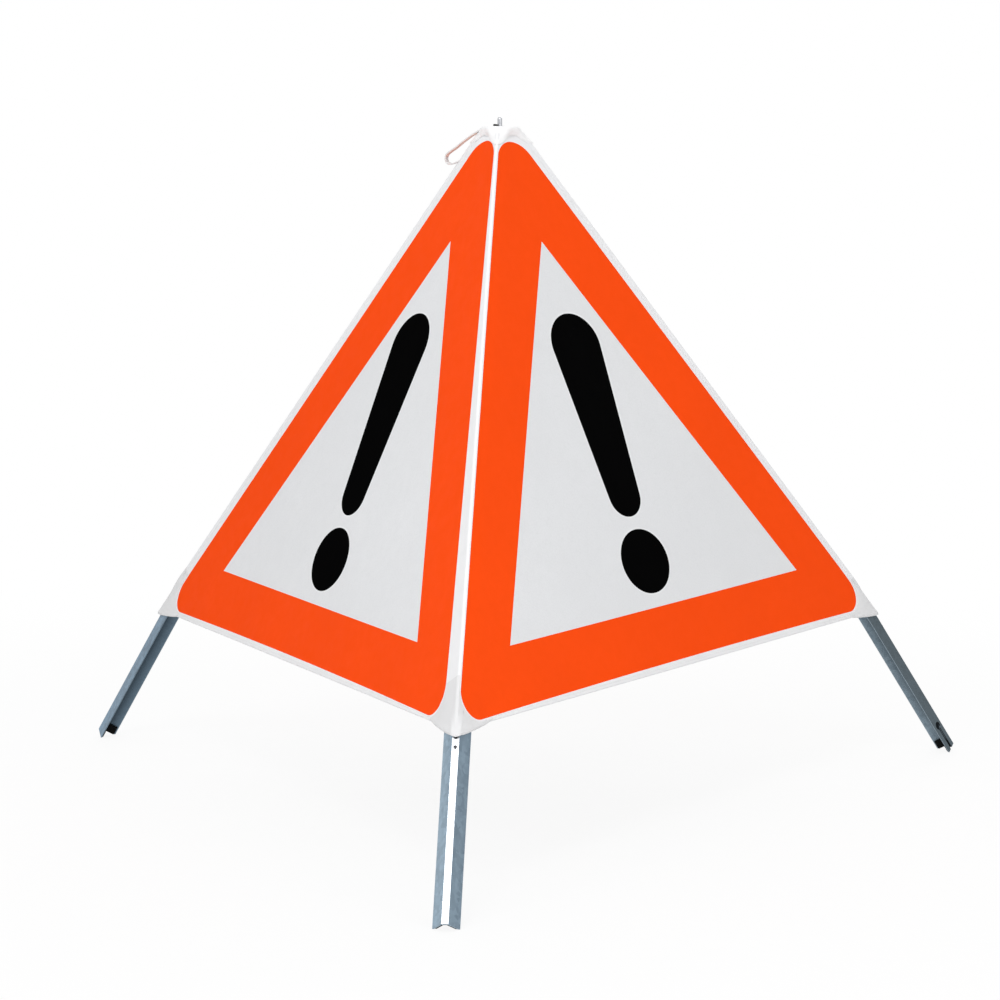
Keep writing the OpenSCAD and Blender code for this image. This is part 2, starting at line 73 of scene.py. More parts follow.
CA, SA = math.cos(FACE_HALF), math.sin(FACE_HALF)
CT, ST = math.cos(FACE_TILT), math.sin(FACE_TILT)
LEGS = {"front": -90.0, "right": 30.0, "left": 150.0}
# the leg on either side of a leg; the halves of the faces, two by two
OTHER = {
    "front": {1: "right", -1: "left"}, "right": {1: "left", -1: "front"}, "left": {1: "front", -1: "right"}}
HALVES = [("front", 1), ("right", -1), ("front", -1), ("left", 1), ("left", -1), ("right", 1)]


def bearing(leg):
    """Level directions of a leg: out from the mast, and round it."""
    a = math.radians(LEGS[leg])
    return np.array([math.cos(a), math.sin(a), 0]), np.array([-math.sin(a), math.cos(a), 0])


def leg_axes(leg):
    """Hinge pin of a leg, and the axes of its frame: down the leg, round the mast, out of the crown."""
    (out, round_), up = bearing(leg), np.array([0, 0, 1.0])
    down = math.sin(SPREAD) * out - math.cos(SPREAD) * up
    crown = math.cos(SPREAD) * out + math.sin(SPREAD) * up
    return HINGE_R * out + PIN_Z * up, down, round_, crown


def on_leg(leg, x, y, z):
    """Leg frame, mm from the hinge pin, to metres."""
    pin, down, round_, crown = leg_axes(leg)
    x, y, z = [np.asarray(v, float)[..., None] for v in (x, y, z)]
    return (pin + x * down + y * round_ + z * crown) * MM


def beside(y, z, side):
    """Point on a face (across it, out of it) as the last two of the leg frame."""
    return side * (y * ST + z * CT), PIN_DEPTH + RIDGE_UP - y * CT + z * ST


def on_face(leg, side, x, y, z):
    """Face frame (down the ridge, across the face, out of it), mm from the apex, to metres."""
    return on_leg(leg, x - APEX_ALONG, *beside(y, z, side))


def face_normal(leg, side):
    return (on_face(leg, side, 0, 0, 1) - on_face(leg, side, 0, 0, 0)) / MM


def to_ridge(w, u):
    """Middle frame of a face (down the middle line, away from it) to ridge coordinates."""
    return w * CA + u * SA, w * SA - u * CA


to_middle = to_ridge  # a reflection, so it goes both ways


def unit(v):
    return v / np.linalg.norm(v, axis=-1, keepdims=True)


def lengths(points):
    """Length along a line of points, at each of them."""
    return np.concatenate([[0], np.cumsum(np.linalg.norm(np.diff(points, axis=0), axis=1))])


def sampled(points, far, at):
    """Points at other lengths along a line."""
    return np.column_stack([np.interp(at, far, c) for c in np.transpose(points)])


def evenly(points, count):
    """That many points, evenly spaced along a line."""
    far = lengths(points)
    return sampled(points, far, np.linspace(0, far[-1], count))


def smooth(a, b, x):
    t = np.clip((np.asarray(x, float) - a) / (b - a), 0, 1)
    return t * t * (3 - 2 * t)


# Nodes of the materials

def new_material(name):
    m = bpy.data.materials.new(name)
    m.use_nodes = True
    return m, m.node_tree, m.node_tree.nodes["Principled BSDF"]


def feed(tree, node, inputs):
    """Fill inputs of a node with values, or with what other nodes give."""
    for key, v in inputs.items():
        socket = node.inputs[key]
        if isinstance(v, bpy.types.NodeSocket):
            tree.links.new(v, socket)
        else:
            socket.default_value = (*v, 1) if socket.type == "RGBA" else v


def add(tree, kind, inputs=None, **values):
    """A new node; the values are settings of it, or else inputs."""
    n, inputs = tree.nodes.new(kind), dict(inputs or {})
    for k, v in values.items():
        if hasattr(n, k):
            setattr(n, k, v)
        else:
            inputs[k.replace("_", " ")] = v
    feed(tree, n, inputs)
    return n


def coordinates(tree, kind="Object"):
    return add(tree, "ShaderNodeTexCoord").outputs[kind]


def noise(tree, vector, scale, detail, rough=0.55):
    n = add(tree, "ShaderNodeTexNoise", {"Vector": vector}, Scale=scale, Detail=detail, Roughness=rough)
    return n.outputs["Fac"]


def remap(tree, value, a, b, lo, hi):
    n = add(tree, "ShaderNodeMapRange", {"Value": value}, From_Min=a, From_Max=b, To_Min=lo, To_Max=hi)
    return n.outputs["Result"]


def along(tree, vector, axis):
    """How far a vector reaches along an axis."""
    ways = {0: vector, 1: tuple(float(v) for v in axis)}
    return add(tree, "ShaderNodeVectorMath", ways, operation="DOT_PRODUCT").outputs["Value"]


def maths(tree, op, a, b):
    return add(tree, "ShaderNodeMath", {0: a, 1: b}, operation=op).outputs[0]


def blend_colour(tree, fac, a, b):
    return add(tree, "ShaderNodeMix", {0: fac, 6: a, 7: b}, data_type="RGBA").outputs[2]


def bump(tree, height, distance, strength, under=None):
    links = {"Height": height}
    if under is not None:
        links["Normal"] = under
    return add(tree, "ShaderNodeBump", links, Strength=strength, Distance=distance).outputs["Normal"]


def scaled(colour, k):
    return tuple(min(1.0, c * k) for c in colour)


WAVE_PERIOD = 0.314  # of the wave texture at scale 1


def weave(tree, vector, pitch):
    """Height of a plain weave with that pitch in metres."""
    rib = {"Scale": WAVE_PERIOD / pitch, "Distortion": 0.4, "Detail": 1.0}
    u, v = [add(tree, "ShaderNodeTexWave", {"Vector": vector}, bands_direction=way, **rib) for way in "XY"]
    return maths(tree, "ADD", u.outputs["Fac"], v.outputs["Fac"])


CELL = 0.0042  # of the reflective sheeting
GRIME = (0.42, 0.41, 0.39)


def cloth(name, colour, rough, specular, tone, weave_pitch=0.0011, weave_depth=0.00006,
          cells=False, grime=0.0, sheen=0.0):
    """Coated cloth: soft tones, a fine weave, grime, and the cells of reflective sheeting."""
    m, t, b = new_material(name)
    uv, obj = coordinates(t, "UV"), coordinates(t)
    wide = noise(t, obj, 5.0, 3.0)
    fine = noise(t, obj, 70.0, 5.0)
    c = blend_colour(t, remap(t, wide, 0.3, 0.7, 0, 1), scaled(colour, 1 - tone), scaled(colour, 1 + tone))
    c = blend_colour(t, remap(t, fine, 0.35, 0.75, 0, 0.5), c, scaled(colour, 1 - 1.6 * tone))
    height = weave(t, uv, weave_pitch)
    if cells:
        cell = add(t, "ShaderNodeTexVoronoi", {"Vector": uv}, feature="DISTANCE_TO_EDGE", Scale=1 / CELL)
        line = remap(t, cell.outputs["Distance"], 0.0, 0.09, 1, 0)
        c = blend_colour(t, maths(t, "MULTIPLY", line, 0.35), c, scaled(colour, 0.9))
        height = maths(t, "SUBTRACT", height, line)
    if grime:
        spots = noise(t, obj, 22.0, 6.0, 0.65)
        c = blend_colour(t, remap(t, spots, 0.56, 0.8, 0, grime), c, GRIME)
    feed(t, b, {
        "Base Color": c, "Roughness": remap(t, fine, 0.3, 0.7, rough - 0.07, rough + 0.09),
        "Normal": bump(t, height, weave_depth, 0.6, bump(t, wide, 0.0012, 0.5)),
        "Specular IOR Level": specular, "Sheen Weight": sheen})
    return m


STREAK = (1.6, 75.0, 75.0)  # scale of the streaks down the leg and across it
SHADE_REACH = 0.028  # reach of the ambient occlusion that paints shade into creases


def galvanised(name, axes, colour, dark, rough=0.42, side_shades=(), corner=None):
    """Hot-dip zinc: spangle, streaks, dull patches, and painted shade in creases.

    side_shades: (direction, from, to, share, colour), painted shade or highlight on sides by the way they face;
    corner: (direction, spans, colour), painted shade on a part.
    """
    m, t, b = new_material(name)
    obj = coordinates(t)
    parts = [along(t, obj, np.multiply(a, k)) for a, k in zip(axes, STREAK)]
    long = add(t, "ShaderNodeCombineXYZ", dict(zip("XYZ", parts))).outputs["Vector"]
    streak = noise(t, long, 1.0, 5.0, 0.6)
    spangle = add(t, "ShaderNodeTexVoronoi", {"Vector": obj}, Scale=190.0)
    grey = add(t, "ShaderNodeSeparateColor", {"Color": spangle.outputs["Color"]}).outputs["Red"]
    bloom = noise(t, obj, 26.0, 6.0, 0.62)
    c = blend_colour(t, remap(t, streak, 0.32, 0.68, 0, 1), dark, colour)
    c = blend_colour(t, maths(t, "MULTIPLY", grey, 0.42), c, scaled(colour, 1.55))
    c = blend_colour(t, remap(t, bloom, 0.56, 0.74, 0, 0.35), c, scaled(colour, 1.6))
    # painted shade and highlight: sides tinted darker or lighter by the way they face
    for way, a, z, share, tint in side_shades:
        c = blend_colour(t, remap(t, along(t, coordinates(t, "Normal"), way), a, z, 0, share), c, tint)
    # painted shade on one part of a leg, here inside the channel behind a keyhole
    if corner:
        way, spans, tint = corner
        share = remap(t, along(t, coordinates(t, "Normal"), way), 0.5, 0.8, 0, 1)
        for axis, a, z in spans:
            share = maths(t, "MULTIPLY", share, remap(t, along(t, obj, axis), float(a), float(z), 0, 1))
        c = blend_colour(t, share, c, tint)
    # painted shade: darker in creases and inside the channel of a leg, from ambient occlusion
    occlusion_shade = add(t, "ShaderNodeAmbientOcclusion", samples=6, only_local=True, Distance=SHADE_REACH)
    c = blend_colour(t, remap(t, occlusion_shade.outputs["AO"], 0.42, 0.88, 0.95, 0), c, scaled(dark, 0.12))
    r = remap(t, streak, 0.3, 0.7, rough - 0.07, rough + 0.1)
    feed(t, b, {
        "Base Color": c, "Metallic": 0.9, "Roughness": maths(t, "ADD", r, maths(t, "MULTIPLY", grey, 0.1)),
        "Normal": bump(t, streak, 0.0002, 0.35, bump(t, bloom, 0.0004, 0.3))})
    return m


def bright_metal(name, colour, rough, metal, wear, grain=240.0):
    """Plated or cast metal, worn a little unevenly."""
    m, t, b = new_material(name)
    obj = coordinates(t)
    a, f = noise(t, obj, grain, 5.0), noise(t, obj, 38.0, 5.0, 0.6)
    c = blend_colour(t, remap(t, f, 0.35, 0.7, 0, 1), scaled(colour, 1 - wear), scaled(colour, 1.1))
    feed(t, b, {
        "Base Color": c, "Metallic": metal, "Roughness": remap(t, a, 0.3, 0.7, rough - 0.08, rough + 0.14),
        "Normal": bump(t, a, 0.0002, 0.25)})
    return m


DUST = (0.2, 0.2, 0.195)


def moulded(name, colour, rough, specular=0.35, dust=0.25):
    """Moulded plastic or rubber with a fine texture and some dust."""
    m, t, b = new_material(name)
    obj = coordinates(t)
    g, d = noise(t, obj, 420.0, 4.0), noise(t, obj, 45.0, 6.0, 0.65)
    c = blend_colour(t, remap(t, d, 0.5, 0.78, 0, dust), colour, DUST)
    feed(t, b, {
        "Base Color": c, "Roughness": remap(t, d, 0.35, 0.7, rough - 0.08, rough + 0.15),
        "Normal": bump(t, g, 0.00025, 0.4), "Specular IOR Level": specular})
    return m


mat_orange = cloth("orange_sheeting", (0.985, 0.076, 0.0055), 0.55, 0.015, 0.025, weave_depth=0.00004)
mat_field = cloth("field_sheeting", (0.765, 0.775, 0.79), 0.42, 0.12, 0.02, weave_depth=0.00004, cells=True)
mat_black = cloth("black_print", (0.0021, 0.0021, 0.0022), 0.6, 0.0, 0.12, weave_depth=0.00004)
mat_line = cloth("print_margin", (0.80, 0.81, 0.82), 0.45, 0.1, 0.02)
mat_white = cloth("white_cloth", (0.86, 0.863, 0.875), 0.6, 0.12, 0.02, 0.0012, 0.00008, grime=0.12)
mat_pocket = cloth("pocket_cloth", (0.765, 0.767, 0.775), 0.6, 0.1, 0.02, 0.0012, 0.00008, grime=0.1)
# the cap's white is brighter than the other white cloth: painted light that lifts the shade on its sides
mat_cap = cloth("cap_cloth", (0.93, 0.93, 0.935), 0.6, 0.1, 0.02, 0.0012, 0.00008, grime=0.08)
mat_back = cloth("cloth_back", (0.66, 0.655, 0.64), 0.75, 0.1, 0.04, 0.0014, 0.00014, grime=0.2, sheen=0.1)
mat_thread = cloth("white_thread", (0.80, 0.80, 0.80), 0.7, 0.1, 0.04, 0.0006, 0.00012)
mat_web = cloth("white_webbing", (0.77, 0.75, 0.75), 0.75, 0.1, 0.05, 0.0022, 0.0004, grime=0.25, sheen=0.15)
# painted reflection: orange light bounced from the cover onto the strap's under side
mat_bounce_light = cloth("strap_painted_bounce", (0.84, 0.62, 0.54), 0.75, 0.1, 0.06, 0.0022, 0.0004)
mat_cast = bright_metal("cast_zinc", (0.34, 0.35, 0.36), 0.45, 0.9, 0.3, 300.0)
mat_zinc = bright_metal("bright_zinc", (0.62, 0.64, 0.67), 0.25, 1.0, 0.22)
mat_pin = bright_metal("lamp_pin_steel", (0.60, 0.61, 0.64), 0.28, 1.0, 0.3)
mat_spring = bright_metal("spring_steel", (0.26, 0.27, 0.29), 0.35, 1.0, 0.3)
mat_plastic = moulded("dark_plastic", (0.025, 0.026, 0.028), 0.48)
mat_rubber = moulded("black_rubber", (0.004, 0.004, 0.0042), 0.75, 0.08, 0.06)
mat_rivet = bright_metal("dark_rivet", (0.05, 0.05, 0.055), 0.45, 0.8, 0.3)
ROUND, CROWN = 2, 3
right_flange = -FLANGE_OUT * leg_axes("right")[ROUND] + FLANGE_UP * leg_axes("right")[CROWN]
# light and dark zinc of each leg, lighter or darker from leg to leg as painted light and shade, and the painted
# shade and highlight on its sides
LEG_ZINC_AND_SHADES = {
    "front": ((0.30, 0.39, 0.465), (0.19, 0.265, 0.335), [
        # painted shade on the front leg's flange that faces round to the right
        (leg_axes("front")[ROUND], 0.2, 0.75, 0.4, (0.075, 0.105, 0.135)),
        # painted highlight along the front leg's crown, where a lamp's reflection falls
        (leg_axes("front")[CROWN], 0.86, 0.97, 0.8, (0.80, 0.81, 0.83))]),
    "left": ((0.21, 0.295, 0.375), (0.13, 0.19, 0.25), [
        # painted shade on the left leg's faces that turn in under its crown
        (-leg_axes("left")[CROWN], 0.0, 0.5, 0.5, (0.05, 0.08, 0.105))]),
    "right": ((0.225, 0.285, 0.33), (0.135, 0.185, 0.225), [
        # painted shade on the outer face of the right leg's flange
        (right_flange, 0.7, 0.95, 0.66, (0.012, 0.022, 0.025))]),
}
# where the painted shade inside the channel fades: below the crown, and up the leg from the keyhole
KEYHOLE_SHADE, KEYHOLE_SHADE_BELOW, KEYHOLE_SHADE_UP = (0.003, 0.004, 0.0045), (7.4, 6.4), (45, 20)


def foot_keyhole_shade(leg):
    """Painted shade in the corner inside a foot, behind its keyhole."""
    _, down, round_, crown = leg_axes(leg)
    foot_down = math.cos(LEG_BEND) * down - math.sin(LEG_BEND) * crown
    foot_crown = math.cos(LEG_BEND) * crown + math.sin(LEG_BEND) * down
    top, hole = PEG_HOLE @ foot_crown + LEG_DEPTH / 2 * MM, PEG_HOLE @ foot_down
    spans = [(axis, at - fade[0] * MM, at - fade[1] * MM) for axis, at, fade in (
        (foot_crown, top, KEYHOLE_SHADE_BELOW), (foot_down, hole, KEYHOLE_SHADE_UP))]
    return -FLANGE_OUT * round_ - FLANGE_UP * crown, spans, KEYHOLE_SHADE


mat_leg = {}
for leg, (light, dark, shades_of_sides) in LEG_ZINC_AND_SHADES.items():
    # the right leg gets painted shade inside its channel, behind the keyhole
    keyhole_shade = foot_keyhole_shade(leg) if leg == "right" else None
    mat_leg[leg] = galvanised("galvanised_" + leg, leg_axes(leg)[1:], light, dark, side_shades=shades_of_sides, corner=keyhole_shade)
UPRIGHT = ((0, 0, 1), (1, 0, 0), (0, 1, 0))
mat_strut = galvanised("galvanised_strut", UPRIGHT, (0.40, 0.43, 0.46), (0.27, 0.3, 0.33), 0.38)


# Meshes

def placed(name, data):
    obj = bpy.data.objects.new(name, data)
    bpy.context.scene.collection.objects.link(obj)
    return obj


def make(name, verts, faces, materials, index=None, uv=None):
    """A smooth mesh object with sharp open edges; index is the material of each face."""
    mesh = bpy.data.meshes.new(name)
    mesh.from_pydata(np.asarray(verts, float).tolist(), [], [[int(i) for i in f] for f in faces])
    for m in materials:
        mesh.materials.append(m)
    mesh.polygons.foreach_set("use_smooth", [True] * len(mesh.polygons))
    if index is not None:
        mesh.polygons.foreach_set("material_index", [int(i) for i in index])
    if uv is not None:
        layer = mesh.uv_layers.new(name="UVMap")
        corner = np.zeros(len(mesh.loops), np.int32)
        mesh.loops.foreach_get("vertex_index", corner)
        layer.data.foreach_set("uv", np.asarray(uv, np.float32)[corner].ravel())
    mesh.update()
    used = np.zeros(len(mesh.edges), np.int32)
    edge_of = np.zeros(len(mesh.loops), np.int32)
    mesh.loops.foreach_get("edge_index", edge_of)
    np.add.at(used, edge_of, 1)
    mesh.edges.foreach_set("use_edge_sharp", used == 1)
    return placed(name, mesh)


def thicken(obj, thick, material_offset=0):
    s = obj.modifiers.new("thickness", "SOLIDIFY")
    s.thickness, s.offset, s.use_even_offset, s.use_rim = thick * MM, -1.0, False, True
    s.material_offset = material_offset


def grid_faces(rows, cols, loop=False):
    faces = []
    for i in range(rows - 1):
        for j in range(cols if loop else cols - 1):
            k = (j + 1) % cols
            faces.append((i * cols + j, i * cols + k, (i + 1) * cols + k, (i + 1) * cols + j))
    return faces


def grid_cloth(name, grid, uv, material, thick, loop=False, flip=True):
    """Cloth through rows of points."""
    faces = [f[::-1] if flip else f for f in grid_faces(*grid.shape[:2], loop)]
    obj = make(name, grid.reshape(-1, 3), faces, [material], None, np.reshape(uv, (-1, 2)))
    thicken(obj, thick)
    return obj


def curve_through(points, n):
    """n points along a Catmull-Rom curve through the given ones."""
    p = np.asarray(points, float)
    p = np.vstack([2 * p[0] - p[1], p, 2 * p[-1] - p[-2]])
    spans = len(p) - 3
    out = []
    for s in np.linspace(0, spans, n):
        i = min(int(s), spans - 1)
        t = s - i
        a, b, c, d = p[i], p[i + 1], p[i + 2], p[i + 3]
        square, cube = 2 * a - 5 * b + 4 * c - d, 3 * b - a - 3 * c + d
        out.append(0.5 * (2 * b + (c - a) * t + square * t * t + cube * t ** 3))
    return np.array(out)


def tube_faces(rows, sides):
    ends = [tuple(range(sides - 1, -1, -1)), tuple(range((rows - 1) * sides, rows * sides))]
    return grid_faces(rows, sides, True) + ends


ODD_WAY = (0.31, 0.17, 0.93)  # no tube starts along it


def tube(path, radius, sides):
    """Vertices and faces of a closed tube; the radius may change along its path."""
    p = np.asarray(path, float)
    r = np.broadcast_to(np.asarray(radius, float), (len(p),))
    turns = 2 * np.pi * np.arange(sides)[:, None] / sides
    tangent = unit(np.gradient(p, axis=0))
    normal, verts = unit(np.cross(tangent[0], ODD_WAY)), []
    for k in range(len(p)):
        normal = unit(normal - tangent[k] * (normal @ tangent[k]))
        other = np.cross(tangent[k], normal)
        verts.append(p[k] + r[k] * (np.cos(turns) * normal + np.sin(turns) * other))
    return np.vstack(verts), tube_faces(len(p), sides)


# along a stitch: where it is measured, how it rises from the cloth, how thick it is
STITCH_AT, STITCH_LIFT, STITCH_R = np.array([
    (0, 0.22, 0.5, 0.78, 1.0), (-0.22, 0.12, 0.2, 0.12, -0.22), (0.55, 1, 1.05, 1, 0.55)])


def stitches(name, rows, body, thread=0.28, length=3.2, gap=1.6):
    """Rows of stitches. A row is the points of a seam in metres, with their normals or one for all."""
    verts, faces, count = [], [], 0
    for points, normals in rows:
        normals = np.broadcast_to(normals, points.shape)
        far = lengths(points) / MM
        start = gap / 2
        while start + length < far[-1]:
            s = start + STITCH_AT * length
            p, n = sampled(points, far, s), sampled(normals, far, s)
            lift = STITCH_LIFT * thread * 2 * MM
            v, f = tube(p + n * lift[:, None], thread * MM * STITCH_R, 5)
            verts.append(v)
            faces += [tuple(i + count for i in q) for q in f]
            count += len(v)
            start += length + gap
    obj = make(name, np.vstack(verts), faces, [mat_thread])
    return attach(obj, body)


# Print of a face, in its middle frame (down the middle line, away from it)

def arc(centre, radius, a, b, n):
    t = np.radians(np.linspace(a, b, n))
    return np.column_stack([centre[0] + radius * np.cos(t), centre[1] + radius * np.sin(t)])


def even(points, step):
    """Points along a line, spaced by about that step."""
    return evenly(points, max(2, int(round(lengths(points)[-1] / step)) + 1))


# orange triangle, the field in it, radii of its corners, and how far its lower edge hangs there
OUT_TOP, OUT_BOTTOM, OUT_HALF = 18.6, 744.3, 472.8
IN_TOP, IN_BOTTOM, IN_HALF = 188.7, 673.6, 329.9
TOP_R, CORNER_R, BOW = 43.0, 25.0, 3.4
PRINT_STEP = 9
OUT_ANGLE = math.degrees(math.atan2(OUT_HALF, OUT_BOTTOM - OUT_TOP))
top_centre = (OUT_TOP + TOP_R / math.sin(math.radians(OUT_ANGLE)), 0.0)
corner_turn = (90 - OUT_ANGLE) / 2
corner_centre = (OUT_BOTTOM - CORNER_R, OUT_HALF - CORNER_R / math.tan(math.radians(corner_turn)))
top_arc = arc(top_centre, TOP_R, 180, 90 + OUT_ANGLE, 12)
corner_arc = arc(corner_centre, CORNER_R, 90 + OUT_ANGLE, 0, 16)
outer_loop = np.vstack([
    top_arc, even([top_arc[-1], corner_arc[0]], PRINT_STEP)[1:-1], corner_arc,
    even([(OUT_BOTTOM, corner_centre[1]), (OUT_BOTTOM, 0)], PRINT_STEP)[1:]])


def bow(u):
    """The lower edge of the print hangs towards its corners."""
    return BOW * (np.asarray(u) / OUT_HALF) ** 2


outer_loop[:, 0] += bow(outer_loop[:, 1]) * smooth(OUT_BOTTOM - 60, OUT_BOTTOM - 10, outer_loop[:, 0])
inner_loop = np.vstack([
    even([(IN_TOP, 0), (IN_BOTTOM, IN_HALF)], PRINT_STEP),
    even([(IN_BOTTOM, IN_HALF), (IN_BOTTOM, 0)], PRINT_STEP)[1:]])
# the mark: (down, radius) of its bar's ends, their stretch, the dot (down, two radii), the pale outline
BAR, MARK_WIDE, DOT, MARK_LINE = ((328.5, 43.0), (527.3, 28.0)), 1.18, (614, 41.8, 49.5), 2.4
# how the print lies on each face: down it, across it, and across it for the mark;
# each is a constant and the shares of the flat print's down and across
LAID = {
    "left": ((2.4, 1.0012, -0.0069), (10.72, -0.0229, 0.975), (2.63, -0.0217, 1.0)),
    "right": ((4.5, 0.9883, -0.0092), (-10.46, 0.0008, 1.0068), (-5.54, -0.0089, 1.035)),
    "rear": ((2.2, 1.0, 0.0145), (0.0, 0.0, 1.0), (0.0, 0.0, 1.0)),
}


def face_of(leg, side):
    legs = {leg, OTHER[leg][side]} - {"front"}
    return legs.pop() if len(legs) == 1 else "rear"


def laid(leg, side, points, mark=False):
    """Print points (down, across the whole face) to where they lie on the half of that leg."""
    p = np.asarray(points, float).reshape(-1, 2)
    down, wide, of_mark = LAID[face_of(leg, side)]
    a, b, c = of_mark if mark else wide
    w = down[0] + down[1] * p[:, 0] + down[2] * p[:, 1]
    return np.column_stack([w, -side * (a + b * p[:, 0] + c * p[:, 1])])


def bar_loop(grow):
    (w1, r1), (w2, r2) = [(w, r + grow) for w, r in BAR]
    tilt = math.degrees(math.asin((r1 - r2) / (w2 - w1)))
    a = arc((w1, 0), r1, 180, 90 - tilt, 26)
    b = arc((w2, 0), r2, 90 - tilt, 0, 20)
    loop = np.vstack([a, even([a[-1], b[0]], 7)[1:-1], b])
    return loop * [1, MARK_WIDE]


def dot_loop(grow):
    return arc((0, 0), 1, 180, 0, 36) * [DOT[1] + grow, DOT[2] + grow] + [DOT[0], 0]


def inside(points, loop):
    """Which points lie in the closed loop."""
    x, y = points[:, 0], points[:, 1]
    hit = np.zeros(len(points), bool)
    for (x1, y1), (x2, y2) in zip(loop, np.roll(loop, -1, axis=0)):
        if y1 != y2:
            hit ^= ((y1 > y) != (y2 > y)) & (x < (x2 - x1) * (y - y1) / (y2 - y1) + x1)
    return hit


# sag of a face, from where it starts beside the ridge; depth of the waves in the hem
SAG, SAG_FROM, HEM_WAVE = 6.5, 22, 0.9
# soft folds that run to the corners: angle from the ridge, its width, depth, length
FOLDS = ((11, 2.6, 0.8, 230), (22, 3.2, 0.7, 260), (34, 3.5, 0.6, 200), (46, 3.0, 0.7, 240))


def drawn_in(w, u):
    """Depth of the cloth behind the flat face."""
    w, u = np.asarray(w, float), np.abs(np.asarray(u, float))
    x, y = to_ridge(w, u)
    reach = np.maximum(w * SA - SAG_FROM, 4)
    t = np.clip((y - SAG_FROM) / reach, 0, 1)
    sag = SAG * (1 - (1 - t) ** 2) * np.clip(w / FACE_LEN, 0, 1)
    away = smooth(12, 70, u) * smooth(14, 60, y)
    angle = np.degrees(np.arctan2(y, np.maximum(RIDGE_LEN - 8 - x, 1e-3)))
    far = np.hypot(RIDGE_LEN - 8 - x, y)
    folds = 0
    for at, wide, deep, run in FOLDS:
        fold = deep * np.exp(-((angle - at) / wide) ** 2)
        folds = folds + fold * smooth(30, 70, far) * (1 - smooth(run * 0.4, run, far))
    hem = HEM_WAVE * np.sin(u / 31.0 + 0.6) * smooth(FACE_LEN - 60, FACE_LEN, w)
    return sag + away * (folds + hem)


# top of a face, its edge beside the ridge and the step back there, radius of the rolled hem
TOP_W, EDGE_Y, EDGE_STEP, ROLL = 45.0, 3.6, 6.0, 1.3
# stretch of each ridge where the cloth sinks from a tight ridge to the flat crown
SLACK = {"front": (866.0, 899.0), "left": (848.0, 894.0), "right": (824.0, 868.0)}
# how far the hem hangs below the ridge ends at each leg
HANG = {"front": 0.0, "left": 9.5, "right": -5.0}


def hem_line(leg, side):
    """The hem as down = a + b * across."""
    middle = (HANG[leg] + HANG[OTHER[leg][side]]) / 2
    return FACE_LEN - ROLL + middle, (HANG[leg] - middle) / (FACE_LEN * SA / CA)


def edge_y(leg, x):
    """Where a face ends beside the ridge; it steps back where the ridge goes flat."""
    return EDGE_Y + EDGE_STEP * smooth(SLACK[leg][0] - 14, SLACK[leg][0], x)


def clipped(loop):
    """Pieces of a closed loop on this half of the face (across >= 0), as point pairs."""
    pairs = []
    for a, b in zip(loop, np.roll(loop, -1, axis=0)):
        if a[1] < 0 and b[1] < 0:
            continue
        if a[1] < 0 or b[1] < 0:
            m = a + (b - a) * a[1] / (a[1] - b[1])
            m[1] = 0.0
            a, b = (m, b) if a[1] < 0 else (a, m)
        if np.hypot(*(b - a)) > 1e-3:
            pairs.append((a, b))
    return pairs


def print_loops(leg, side):
    """Edges of the print as it lies on a half: orange, field, and outline and black of the two marks."""
    marks = [shape(grow) for shape in (bar_loop, dot_loop) for grow in (MARK_LINE, 0)]
    loops = []
    for half, mark in [(outer_loop, False), (inner_loop, False)] + [(m, True) for m in marks]:
        loop = laid(leg, side, np.vstack([half, (half * [1, -1])[::-1][1:-1]]), mark)
        x, y = to_ridge(loop[:, 0], loop[:, 1])
        loop[:, 1] -= np.maximum(edge_y(leg, x) + 0.12 - y, 0) / CA
        loops.append(loop)
    return loops


PRINT_INDEX = (1, 2, 3, 4, 3, 4)  # materials of those
GRID, CLEAR = 8.0, 3.4  # of the loose points on a half, and between them and the edges


